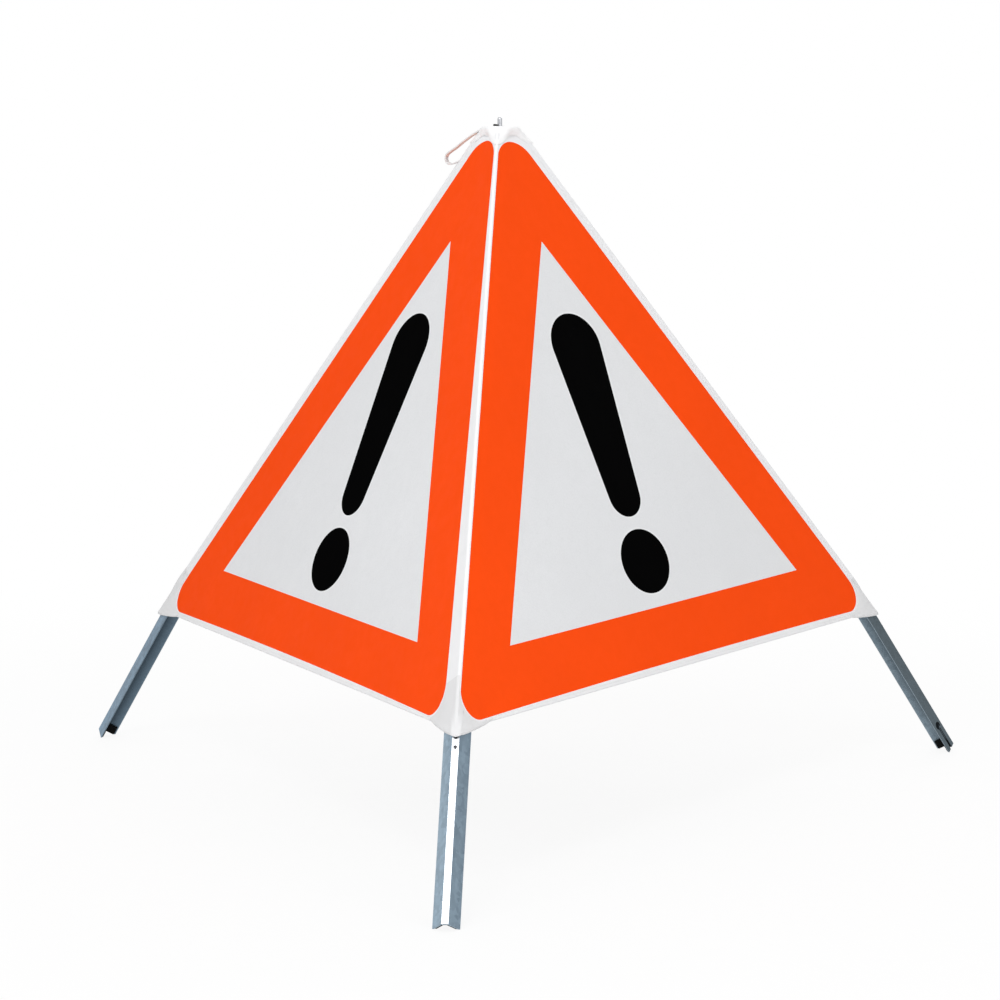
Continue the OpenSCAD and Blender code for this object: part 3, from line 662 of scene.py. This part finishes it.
def half_sheet(leg, side):
    """Flat half of a face as triangles in the middle frame, cut along the edges of the print."""
    step = SLACK[leg][0]
    xs = np.concatenate([
        np.arange(52.0, step - 18, 9.0), np.arange(step - 16, step + 4, 2.5), np.arange(step + 6, 1000.0, 6.0)])
    ridge = np.column_stack(to_middle(xs, edge_y(leg, xs)))
    hem_a, hem_b = hem_line(leg, side)
    ridge = ridge[(ridge[:, 0] > TOP_W + 2) & (ridge[:, 0] < hem_a + hem_b * ridge[:, 1] - 2)]
    top_u = (TOP_W * SA - EDGE_Y) / CA
    last_u = (hem_a * SA - EDGE_Y - EDGE_STEP) / (CA - hem_b * SA)
    outline = np.vstack([
        even([(TOP_W, 0), (TOP_W, top_u)], 7), ridge,
        even([(hem_a + hem_b * last_u, last_u), (hem_a, 0)], GRID)[:-1],
        even([(hem_a, 0), (TOP_W, 0)], 9)[:-1]])
    loops = print_loops(leg, side)
    cuts = [clipped(loop) for loop in loops]
    fixed = np.vstack([outline] + [np.array(c).reshape(-1, 2) for c in cuts])
    rows = []
    for k, w in enumerate(np.arange(TOP_W + GRID, hem_a + GRID / 2, GRID)):
        end_u = (w * SA - (EDGE_Y if w < 100 else EDGE_Y + EDGE_STEP)) / CA
        us = np.arange(5 + (k % 2) * GRID / 2, end_u - 3, GRID)
        rows.append(np.column_stack([np.full(len(us), w), us]))
    loose = np.vstack(rows)
    loose = loose[loose[:, 0] < hem_a + hem_b * loose[:, 1] - 3]
    near = np.array([np.min(np.hypot(fixed[:, 0] - p[0], fixed[:, 1] - p[1])) for p in loose])
    points = np.vstack([fixed, loose[near > CLEAR]])
    n = len(outline)
    edges = [(i, (i + 1) % n) for i in range(n)]
    for c in cuts:
        edges += [(n + 2 * i, n + 2 * i + 1) for i in range(len(c))]
        n += 2 * len(c)
    made = delaunay_2d_cdt([Vector(p) for p in points], edges, [], 0, 1e-4)
    verts = np.array([tuple(v) for v in made[0]])
    faces = np.array([tuple(f) for f in made[2]])
    middle = verts[faces].mean(1)
    first = verts[faces[:, 0]]
    area = np.cross(verts[faces[:, 1]] - first, verts[faces[:, 2]] - first)
    keep = (np.abs(area) > 1e-3) & inside(middle, outline)
    faces, middle, area = faces[keep], middle[keep], area[keep]
    kind = np.zeros(len(faces), int)
    for value, loop in zip(PRINT_INDEX, loops):
        kind[inside(middle, loop)] = value
    faces = np.where((area < 0)[:, None], faces[:, ::-1], faces)
    return verts, faces, kind, float(np.abs(area).sum() / 2)


# the wings of the pockets start this far from the ridge
WING_REACH = 9.6


def fold_with_legs(obj):
    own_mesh(obj)


def place_half(leg, side, w, u, lift=0.0):
    return on_face(leg, side, *to_ridge(w, u), lift - drawn_in(w, u))


# rows of the hem after the face's edge: (down, out), round the roll and back up behind
HEM_ROWS = [(ROLL * math.sin(a), ROLL * math.cos(a) - ROLL) for a in np.radians((36, 72, 108, 144, 180))]
HEM_ROWS += [(-4.0, -2.5), (-8.0, -2.4), (-11.0, -2.3)]
# flat size of a half face and width of its hem in metres; where the hem is sewn
FACE_FLAT, HEM_WIDE, HEM_SEAM = (0.499, 0.764), 0.016, 3.3


def panel(leg, side):
    """Printed half of a face with its rolled hem."""
    name = f"{leg}_to_{OTHER[leg][side]}"
    flat_verts, flat_faces, flat_kind, flat_area = half_sheet(leg, side)
    w, u = flat_verts[:, 0], flat_verts[:, 1]
    verts = place_half(leg, side, w, u)
    # the face frame is mirrored on the side behind, so the winding turns with it
    faces = [tuple(f[::-1] if side > 0 else f) for f in flat_faces]
    index = list(flat_kind)
    uv = np.column_stack([u, w]) * MM
    hem_a, hem_b = hem_line(leg, side)
    low = np.where(np.abs(w - hem_a - hem_b * u) < 1e-3)[0]
    low = low[np.argsort(u[low])]
    rows, uvs = [low], [uv]
    for dw, dz in HEM_ROWS:
        rows.append(np.arange(len(low)) + len(verts))
        row = on_face(leg, side, *to_ridge(w[low] + dw, u[low]), dz - drawn_in(w[low], u[low]))
        verts = np.vstack([verts, row])
        uvs.append(np.column_stack([u[low], w[low] + 4 - 4 * dz]) * MM)
    for a, b in zip(rows[:-1], rows[1:]):
        for i in range(len(low) - 1):
            q = (a[i], a[i + 1], b[i + 1], b[i])
            faces.append(q if side > 0 else q[::-1])
            index.append(0)
    printed = [mat_white, mat_orange, mat_field, mat_line, mat_black]
    backs = [mat_back] * len(printed)
    obj = make("cloth_" + name, verts, faces, printed + backs, index, np.vstack(uvs))
    thicken(obj, thick=0.6, material_offset=len(printed))
    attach(obj, "leg_" + leg)
    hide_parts("panel_" + name)
    fold_with_legs(obj)
    us = np.linspace(4, (hem_a * SA - 66) / CA, 120)
    seam = place_half(leg, side, hem_a + hem_b * us - HEM_SEAM, us, 0.05)
    sewn = stitches("hem_stitch_" + name, [(seam, face_normal(leg, side))], "leg_" + leg)
    fold_with_legs(sewn)


for leg, side in HALVES:
    panel(leg, side)


# Ridge sleeves: cloth wrapped over the crown, with its sewn margin inside the faces

# how far a tight ridge stands above the crown
RISE = {"front": 5.0, "left": 4.4, "right": 4.0}


def flat_crown(lift, ahead, behind, count):
    """Line across a ridge where the cloth lies on the crown."""
    up = PIN_DEPTH + WRAP_UP
    half = [(4.75, up + 0.45 * lift + 0.15), (3.2, up + 0.75 * lift + 0.28)]
    top = half + [(0, up + lift + 0.3)] + [(-y, z) for y, z in half[::-1]]
    a = [beside(ahead, 0.06, 1), beside(ahead - 0.3, lift, 1), beside(8.75, lift + 0.03, 1)]
    b = [beside(8.75, lift + 0.03, -1), beside(behind - 0.3, lift, -1), beside(behind, 0.06, -1)]
    return evenly(curve_through(a + top + b, 120), count)


def tight_ridge(lift, ahead, behind, count, rise):
    """Line across a ridge where the faces pull the cloth up round."""
    r = (RIDGE_UP - WRAP_UP - rise) / (1 / ST - 1)
    turn = math.atan2(CT, ST)
    up = PIN_DEPTH + RIDGE_UP - r / ST
    line = [beside(ahead, 0.06, 1), beside(ahead - 0.25, lift, 1)]
    r += lift
    line += [(r * math.sin(a), up + r * math.cos(a)) for a in np.linspace(turn, -turn, 25)]
    line += [beside(behind - 0.25, lift, -1), beside(behind, 0.06, -1)]
    return evenly(np.array(line), count)


def across_ridge(leg, x, lift, ahead, behind, count):
    """Line across a ridge at x, between its edges on the two faces."""
    slack = smooth(*SLACK[leg], x)
    tight = tight_ridge(lift, ahead, behind, count, RISE[leg])
    if slack == 0:
        return tight
    return tight + (flat_crown(lift, max(ahead, 9.4), max(behind, 9.4), count) - tight) * slack


def wing(leg, side, x):
    """Where the sleeve ends on a face: just short of the print."""
    ends = laid(leg, side, [(OUT_TOP, 0.0), (OUT_BOTTOM, -side * OUT_HALF)])
    (x0, y0), (x1, y1) = [to_ridge(*p) for p in ends]
    edge = y0 + (y1 - y0) * (x - x0) / (x1 - x0)
    return np.clip(edge - 0.6, 4.0, 9.7) + 0.08 * np.sin(x / 23.0 + side)


# a sleeve and its seam above the faces, its margins behind them
SLEEVE_LIFT, SLEEVE_SEAM, MARGIN_IN = 0.32, 0.36, 0.85


def sleeve(leg):
    cols = 29
    mid = 1 - np.abs(np.linspace(-1, 1, cols))
    xs = np.concatenate([np.linspace(54, 72, 6), np.linspace(80, 812, 75), np.linspace(820, 860, 9)])
    grid, uv = np.zeros((len(xs), cols, 3)), []
    for k, x in enumerate(xs):
        wave = 0.12 * math.sin(x / 17.0 + LEGS[leg]) + 0.10 * math.sin(x / 7.3 + 1.3)
        line = across_ridge(leg, x, SLEEVE_LIFT, wing(leg, 1, x), wing(leg, -1, x), cols)
        up = line[:, 1] + wave * 0.35 * mid
        grid[k] = on_leg(leg, x - APEX_ALONG, line[:, 0], up)
        uv.append(np.column_stack([lengths(line), np.full(cols, x)]) * MM)
    obj = grid_cloth("sleeve_" + leg, grid, uv, mat_white, thick=0.26)
    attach(obj, "leg_" + leg)
    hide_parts("ridge_sleeve_" + leg)
    rows, at = [], np.linspace(76, 826, 160)
    for side in (1, -1):
        ys = wing(leg, side, at) - 0.75
        # a sleeve that is narrow somewhere has no room for a seam
        if ys.min() >= 5.5:
            rows.append((on_face(leg, side, at, ys, SLEEVE_SEAM), face_normal(leg, side)))
    if rows:
        stitches("sleeve_stitch_" + leg, rows, "leg_" + leg, 0.17, 3.0, 1.6)


def sleeve_margins(leg):
    """Margins of a sleeve that stay on the leg, behind the faces."""
    cols, xs = 7, np.linspace(62, 846, 60)
    for side, word in ((1, "ahead"), (-1, "behind")):
        verts, uv = [], []
        for x in xs:
            ys = np.linspace(8.6, 9.0 + 26 * (850 - x) / 790, cols)
            verts.append(on_face(leg, side, x, ys, -MARGIN_IN))
            uv.append(np.column_stack([ys, np.full(cols, x)]) * MM)
        name = f"sleeve_margin_{leg}_{word}"
        inner = grid_cloth(name, np.array(verts), uv, mat_white, thick=0.4, flip=side > 0)
        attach(inner, "leg_" + leg)


for leg in LEGS:
    sleeve(leg)
    sleeve_margins(leg)


# Corner pockets

# clear of the print, height above the face, top on the ridge, end on the faces
POCKET_OFF, POCKET_LIFT, POCKET_TOP, POCKET_LAST = CORNER_R + 3.0, 0.75, 828.0, 62.0
# columns over the ridge and rows down it; how deep and how far from the end the cloth tucks in
RIDGE_COLS, POCKET_ROWS, TUCK, TUCK_FROM = 23, 30, 1.3, 2.6


def pocket_shape(leg):
    """Points of a pocket and their flat places; its columns cross the ridge in the middle."""
    def corner(way, w):
        return laid(leg, way, [(w + bow(corner_centre[1]), -way * corner_centre[1])])[0]

    ys = np.concatenate([np.linspace(WING_REACH + 0.4, 15, 6), np.linspace(17, POCKET_LAST, 22)])
    columns = [(1, y, None) for y in ys[::-1]] + [(0, None, c) for c in range(RIDGE_COLS)]
    columns += [(-1, y, None) for y in ys]
    grid = np.zeros((POCKET_ROWS, len(columns), 3))
    uv = np.zeros((POCKET_ROWS, len(columns), 2))
    shape = across_ridge(leg, 840.0, POCKET_LIFT, WING_REACH, WING_REACH, RIDGE_COLS)
    for c, (side, y, k) in enumerate(columns):
        if not side:
            y = abs(shape[k, 0]) / ST
        way = side or (1 if shape[k, 0] >= 0 else -1)
        x0, y0 = to_ridge(*corner(way, corner_centre[0]))
        inner = y0 - y
        # it starts below the print and ends below the hem
        start = POCKET_TOP
        if inner < -POCKET_OFF * SA:
            start = (corner(way, OUT_BOTTOM)[0] + 3.0 - y * SA) / CA
        elif abs(inner) < POCKET_OFF:
            start = max(start, x0 + math.sqrt(POCKET_OFF ** 2 - inner ** 2))
        lift = POCKET_LIFT * (1 - 0.9 * smooth(POCKET_LAST - 14, POCKET_LAST, y))
        hem_a, hem_b = hem_line(leg, way)
        fall = (SA + hem_b * CA) / (CA - hem_b * SA)
        end = (hem_a + ROLL) / (CA - hem_b * SA) + 3.0 - 1.3 * fall * (math.hypot(y, 12.0) - 12.0)
        end -= 1.2 * smooth(48, POCKET_LAST, y)
        start = min(start, end - 3.0)
        for r in range(POCKET_ROWS):
            f = 1 - (1 - r / (POCKET_ROWS - 1)) ** 1.35
            s = start + (end - start) * f
            tuck = max(0.0, (s - (end - TUCK_FROM)) / TUCK_FROM)
            drop = TUCK * tuck ** 2.2 + 0.9 * lift * (1 - smooth(0, 16, s - start))
            left = end - s
            ease = 0.16 * math.sin(left / 2.6) * smooth(0, 6, left) * (1 - smooth(16, 34, left))
            if side:
                sunk = drawn_in(*to_middle(s, y)) if y > 14 else 0.0
                grid[r, c] = on_face(leg, side, s, y, lift - drop + ease - sunk)
            else:
                p = across_ridge(leg, s, lift, WING_REACH, WING_REACH, RIDGE_COLS)[k]
                # its ends lie on the faces, where the wings carry on
                if k in (0, RIDGE_COLS - 1):
                    p = beside(WING_REACH, lift, 1 if k == 0 else -1)
                grid[r, c] = on_leg(leg, s - APEX_ALONG, p[0], p[1] - drop + ease)
            uv[r, c] = (c * 1.6, s)
    return grid, uv * MM


def pocket(leg):
    """A pocket in three: the wings on the faces, and the middle over the ridge; all three go on the leg."""
    grid, uv = pocket_shape(leg)
    cols = grid.shape[1]
    wing_cols = (cols - RIDGE_COLS) // 2
    stretches = (("", 0, wing_cols, wing_cols + RIDGE_COLS), ("_ahead", 1, 0, wing_cols + 1),
                 ("_behind", -1, wing_cols + RIDGE_COLS - 1, cols))
    for word, side, a, b in stretches:
        part = grid[:, a:b]
        obj = grid_cloth("pocket_" + leg + word, part, uv[:, a:b], mat_pocket, thick=0.6)
        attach(obj, "leg_" + leg)
        sewn_row = POCKET_ROWS - 6
        line = part[sewn_row]
        n = unit(np.cross(np.gradient(line, axis=0), part[sewn_row + 1] - part[sewn_row - 1]))
        n *= np.sign(n @ leg_axes(leg)[CROWN])[:, None]
        seam = [(line + n * 0.02 * MM, n)]
        sewn = stitches("pocket_stitch_" + leg + word, seam, "leg_" + leg, 0.17, 2.6, 1.4)
        if side:
            for piece in (obj, sewn):
                fold_with_legs(piece)
        else:
            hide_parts("corner_pocket_" + leg)


for leg in LEGS:
    pocket(leg)


# Cap over the head

CAP_TOP, CAP_SIDES, CAP_RINGS, CAP_FLAT = HEAD_TOP + WRAP_UP, 144, 26, (0.085, 0.085)
# its rim: depth below the apex, how much deeper on the legs, reach of the rounding beside them
RIM_DEPTH, RIM_HANG, RIM_ROUND = 46.4, 10.5, 2.5


def cap_line(turn):
    """Line down the cap at that bearing, as (out from the mast, height)."""
    to_leg = min(abs((turn - az + 180) % 360 - 180) for az in LEGS.values())
    rise = 0.5 + 0.5 * math.cos(math.radians(3 * to_leg))
    wide, depth = rise ** 0.65, RIM_DEPTH + RIM_HANG * rise ** 2.4
    face_r = depth * math.tan(FACE_LEAN) / math.cos(math.radians(60 - to_leg)) + 1.1
    ridge_r = depth * math.tan(SPREAD) - (RIDGE_UP - WRAP_UP - 5.9) / math.cos(SPREAD)
    ridge_r /= math.cos(math.radians(to_leg))
    rounding = max(0.0, RIM_ROUND - abs(face_r - ridge_r)) ** 2 / 14
    rim_r, rim_z = min(face_r, ridge_r) - rounding, APEX_Z - depth
    return curve_through([
        (6.6, CAP_TOP - 1.0), (6.9, CAP_TOP - 0.15), (8.5, CAP_TOP + 0.05), (14.8 + 2.2 * wide, CAP_TOP),
        (18.8 + 2.6 * wide, CAP_TOP - 0.4), (21.4 + 4.4 * wide, CAP_TOP - 2.2),
        (0.55 * (21.8 + 6.4 * wide) + 0.45 * rim_r, 0.55 * (CAP_TOP - 3.4) + 0.45 * rim_z),
        (rim_r + 0.1, rim_z + 1.2), (rim_r - 0.25, rim_z - 0.2)], CAP_RINGS)


def cap():
    grid = np.zeros((CAP_RINGS, CAP_SIDES, 3))
    for k in range(CAP_SIDES):
        a = 2 * math.pi * k / CAP_SIDES
        r, z = cap_line(math.degrees(a)).T
        grid[:, k] = np.column_stack([r * math.cos(a), r * math.sin(a), z]) * MM
    uv = [(k * 0.9 * MM, r * 1.5 * MM) for r in range(CAP_RINGS) for k in range(CAP_SIDES)]
    obj = grid_cloth("cap", grid, uv, mat_cap, thick=0.7, loop=True)
    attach(obj, "head")
    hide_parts("cover_cap")
    line = np.vstack([grid[-4], grid[-4, :1]])
    out = unit(line * [1, 1, 0]) * 0.9 + [0, 0, 0.43]
    stitches("cap_stitch", [(line, out)], "head", 0.2, 2.6, 1.4)


def gap_shade_ring():
    """Black rubber ring in the cap on the left of the lamp pin, where the cloth stands open: a dark piece that
    paints the shade in that gap.
    """
    middle, wide, deep, wire = -2.3, 4.7, 4.2, 1.45
    t = np.radians(np.linspace(92, 268, 34))
    path = np.column_stack([middle + wide * np.cos(t), deep * np.sin(t), np.full(len(t), CAP_TOP + 1.0)])
    swell = 0.55 + 0.45 * np.sin(np.linspace(0.15, math.pi - 0.15, len(t)))
    obj = make("cap_gap_shade_ring", *tube(path * MM, wire * MM * swell, 10), [mat_rubber])
    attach(obj, "head")


cap()
gap_shade_ring()


# Strap loop: webbing from the cap out to its turn and back to the left ridge

# its turn about the leg, and where it leaves the head and joins the leg
STRAP_TURN, STRAP_HEAD, STRAP_LEG = math.radians(18.5), (27, -40.0), (56.9, -77.0)
# section in shares of its half width and half thickness; the faces and the stretch with painted orange light bounced
# from the cover
SECTION = [
    (-1, -0.5), (-1, 0.5), (-0.94, 1), (-0.5, 1.08), (0, 1.12), (0.5, 1.08), (0.94, 1),
    (1, 0.5), (1, -0.5), (0.94, -1), (0.5, -1.0), (0, -1.0), (-0.5, -1.0), (-0.94, -1)]
BOUNCE_FACES, BOUNCE_FROM, BOUNCE_TO = range(8, 13), 0.1, 0.62


def strap_line():
    """Middle line of the tape, as (out from the mast, up from the apex)."""
    start, end, centre, r = (26.54, -39.10), (56.88, -77.51), (76.0, -76.3), 7.5
    under_cap, under_sleeve = (24.0, -36.6), (60.6, -82.2)
    (sx, sy), (ex, ey) = np.subtract(start, centre), np.subtract(end, centre)
    first = math.degrees(math.atan2(sy, sx) - math.acos(r / math.hypot(sx, sy)))
    last = math.degrees(math.atan2(ey, ex) + math.acos(r / math.hypot(ex, ey)))
    turn = arc(centre, r, first, last - 360 if last > first else last, 18)
    out, back = even([start, turn[0]], 3.0), even([turn[-1], end], 3.0)
    return np.vstack([under_cap, out, turn[1:], back[1:], under_sleeve])


def strap():
    out, wide = bearing("left")
    lie = math.cos(STRAP_TURN) * wide - math.sin(STRAP_TURN) * out
    line, n, m, half, thick, bowed = strap_line(), 70, len(SECTION), 5.1, 0.95, 1.6
    length = lengths(line)[-1]
    p, t = evenly(line, n), np.linspace(0, length, n)
    for _ in range(4):
        p[1:-1] = 0.25 * p[:-2] + 0.5 * p[1:-1] + 0.25 * p[2:]
    # bowed a little by its own stiffness
    p[:, 1] += bowed * np.sin(np.pi * np.clip(t / (length * 0.46), 0, 1))
    tangent = unit(np.gradient(p, axis=0))
    side = np.column_stack([-tangent[:, 1], tangent[:, 0]])

    def at(x, z):
        return out * x + np.array([0, 0, APEX_Z + z])

    verts, uv = [], []
    for k in range(n):
        twist = 0.18 * math.sin(math.pi * k / (n - 1))
        for c, d in SECTION:
            q = p[k] + side[k] * (d * thick + c * half * twist * 0.4)
            verts.append((at(*q) + lie * (c * half)) * MM)
            uv.append((c * half * MM, t[k] * MM))
    # painted orange bounce light on the under side of the tape, along part of its length
    index = [int(j in BOUNCE_FACES and BOUNCE_FROM * n < i < BOUNCE_TO * n) for i in range(n - 1) for j in range(m)]
    obj = make("strap_loop", verts, tube_faces(n, m), [mat_web, mat_bounce_light], index + [0, 0], uv)
    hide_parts("carry_strap")
    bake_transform(obj)


strap()


# Spring: round wire, closed end turns

def spring():
    seat, length, wire, mean, turns, gap, steps = 207.21140, 190.0, 2.4, 17.0, 14, 0.3, 28
    dead = wire + 2 * CLOTH_GAP
    live = (length - wire - 2 * gap - 2 * dead) / (turns - 2)
    t = np.arange(turns * steps + 1) / steps
    z = seat + gap + wire / 2 + dead * np.minimum(t, 1)
    z = z + live * np.clip(t - 1, 0, turns - 2) + dead * np.maximum(t - turns + 1, 0)
    path = np.column_stack([mean / 2 * np.cos(2 * np.pi * t), mean / 2 * np.sin(2 * np.pi * t), z])
    obj = make("spring_wire", *tube(path * MM, wire / 2 * MM, 10), [mat_spring])
    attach(obj, "head")
    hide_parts("spring")
    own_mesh(obj)


spring()


# Rigid CAD pieces: finish and softened edges

BEVEL_ANGLE, WELD = math.radians(35), 0.00001
LEG_PIECES = [
    ("hinge_pin_", mat_zinc, 0.2), ("strut_pin_", mat_zinc, 0.2), ("pivot_washers_", mat_plastic, 0.15),
    ("foot_plug_", mat_rubber, 0.5), ("pocket_rivets_", mat_rivet, 0.4), ("strut_", mat_strut, 0.4)]
MIDDLE_PIECES = [
    ("head_hub", mat_cast, 0.5), ("lamp_pin", mat_pin, 0.2), ("mast", mat_zinc, 0.4),
    ("stop_collar", mat_plastic, 0.4), ("spring_washer", mat_zinc, 0.3), ("mast_nut", mat_zinc, 0.4),
    ("runner", mat_cast, 0.5), ("runner_pins", mat_zinc, 0.25)]


def finish_node(name, material, width):
    obj = nodes[name]
    if not obj.material_slots:
        obj.data.materials.append(material)
    for slot in obj.material_slots:
        slot.material = material
    obj.modifiers.new("weld", "WELD").merge_threshold = WELD
    edge = obj.modifiers.new("edges", "BEVEL")
    edge.width, edge.segments, edge.use_clamp_overlap = width * MM, 2, True
    edge.limit_method, edge.angle_limit = "ANGLE", BEVEL_ANGLE
    obj.modifiers.new("normals", "WEIGHTED_NORMAL").keep_sharp = False


for leg in LEGS:
    finish_node("leg_" + leg, mat_leg[leg], 0.45)
    for name, material, width in LEG_PIECES:
        finish_node(name + leg, material, width)
for piece in MIDDLE_PIECES:
    finish_node(*piece)


# Camera fitted to the photograph; it sees the apex at (right, ahead, up) in units of the fit

LENS, SENSOR, CLIP = 118.647, 36, (0.05, 200)
CAMERA_TURN, APEX_SEEN, FIT_UNIT = np.array([0.12879, 0.0053, -0.08716]), (-0.00037, 5.56788, 0.67865), 0.744289
camera = placed("camera", bpy.data.cameras.new("camera"))
bpy.context.scene.camera = camera
camera.data.sensor_width, camera.data.lens = SENSOR, LENS
camera.data.clip_start, camera.data.clip_end = CLIP
look = np.array(Matrix.Rotation(np.linalg.norm(CAMERA_TURN), 3, Vector(unit(CAMERA_TURN))))
place = np.array([0, 0, APEX_Z * MM]) - look.T @ np.array(APEX_SEEN) * FIT_UNIT
right, ahead, up = look
camera.matrix_world = Matrix([*np.column_stack([right, up, -ahead, place]), (0, 0, 0, 1)])


# Floor, light and background

# strength of the white background as a light
WORLD = 0.55
# name, place, size and power of each lamp, and where they all point
LAMPS = [
    ("key", (-1.6, -3.4, 2.6), 2.2, 42.0),
    ("fill", (2.4, -3.0, 2.0), 2.2, 32.0),
    ("over", (-0.3, -2.55, 3.3), 1.05, 34.0),
    ("rear", (0.3, 3.4, 2.4), 2.2, 44.0),
]
LAMP_AIM = Vector((0, 0, 0.45))
# radii of the floor, and between which it fades into the background
FLOOR_R, FADE_FROM, FADE_TO = (0.4, 0.8, 1.2, 1.8, 2.6, 4.0, 7.0, 14.0, 40.0), 0.75, 1.9


def seen(tree):
    """1 for rays that show a thing, and 0 for those that light it."""
    ray = add(tree, "ShaderNodeLightPath").outputs
    beyond = maths(tree, "MAXIMUM", ray["Is Glossy Ray"], ray["Is Transmission Ray"])
    return maths(tree, "MAXIMUM", ray["Is Camera Ray"], beyond)


def surroundings():
    scene = bpy.context.scene
    scene.view_settings.view_transform = "Standard"
    scene.world = bpy.data.worlds.new("studio")
    scene.world.use_nodes = True
    t = scene.world.node_tree
    feed(t, t.nodes["Background"], {"Color": (1, 1, 1), "Strength": remap(t, seen(t), 0, 1, WORLD, 1)})
    for name, where, size, power in LAMPS:
        lamp = bpy.data.lights.new(name, "AREA")
        lamp.shape, lamp.size, lamp.size_y, lamp.energy = "RECTANGLE", size, size, power
        obj = placed(name, lamp)
        obj.location, obj.rotation_mode = where, "QUATERNION"
        obj.rotation_quaternion = (LAMP_AIM - Vector(where)).to_track_quat("-Z", "Y")


def floor():
    height, sides = -0.0004, 64
    turns = [2 * math.pi * k / sides for k in range(sides)]
    verts = [(r * math.cos(a), r * math.sin(a), height) for r in FLOOR_R for a in turns]
    faces = [f[::-1] for f in grid_faces(len(FLOOR_R), sides, True)] + [tuple(range(sides))]
    m, t, b = new_material("floor")
    obj = coordinates(t)
    far = add(t, "ShaderNodeVectorMath", {0: obj}, operation="LENGTH").outputs["Value"]
    speck = remap(t, noise(t, obj, 30.0, 3.0), 0.3, 0.7, 0, 1)
    c = blend_colour(t, speck, (0.87, 0.87, 0.87), (0.89, 0.89, 0.89))
    feed(t, b, {"Base Color": c, "Roughness": 0.9, "Specular IOR Level": 0.05})
    fade = add(t, "ShaderNodeMapRange", {"Value": far}, interpolation_type="SMOOTHSTEP",
               From_Min=FADE_FROM, From_Max=FADE_TO, To_Min=0.9, To_Max=1.0)
    share = maths(t, "MULTIPLY", seen(t), fade.outputs["Result"])
    glow = add(t, "ShaderNodeEmission").outputs["Emission"]
    mix = add(t, "ShaderNodeMixShader", {0: share, 1: b.outputs["BSDF"], 2: glow})
    feed(t, t.nodes["Material Output"], {"Surface": mix.outputs["Shader"]})
    make("floor", verts, faces, [m])


surroundings()
floor()
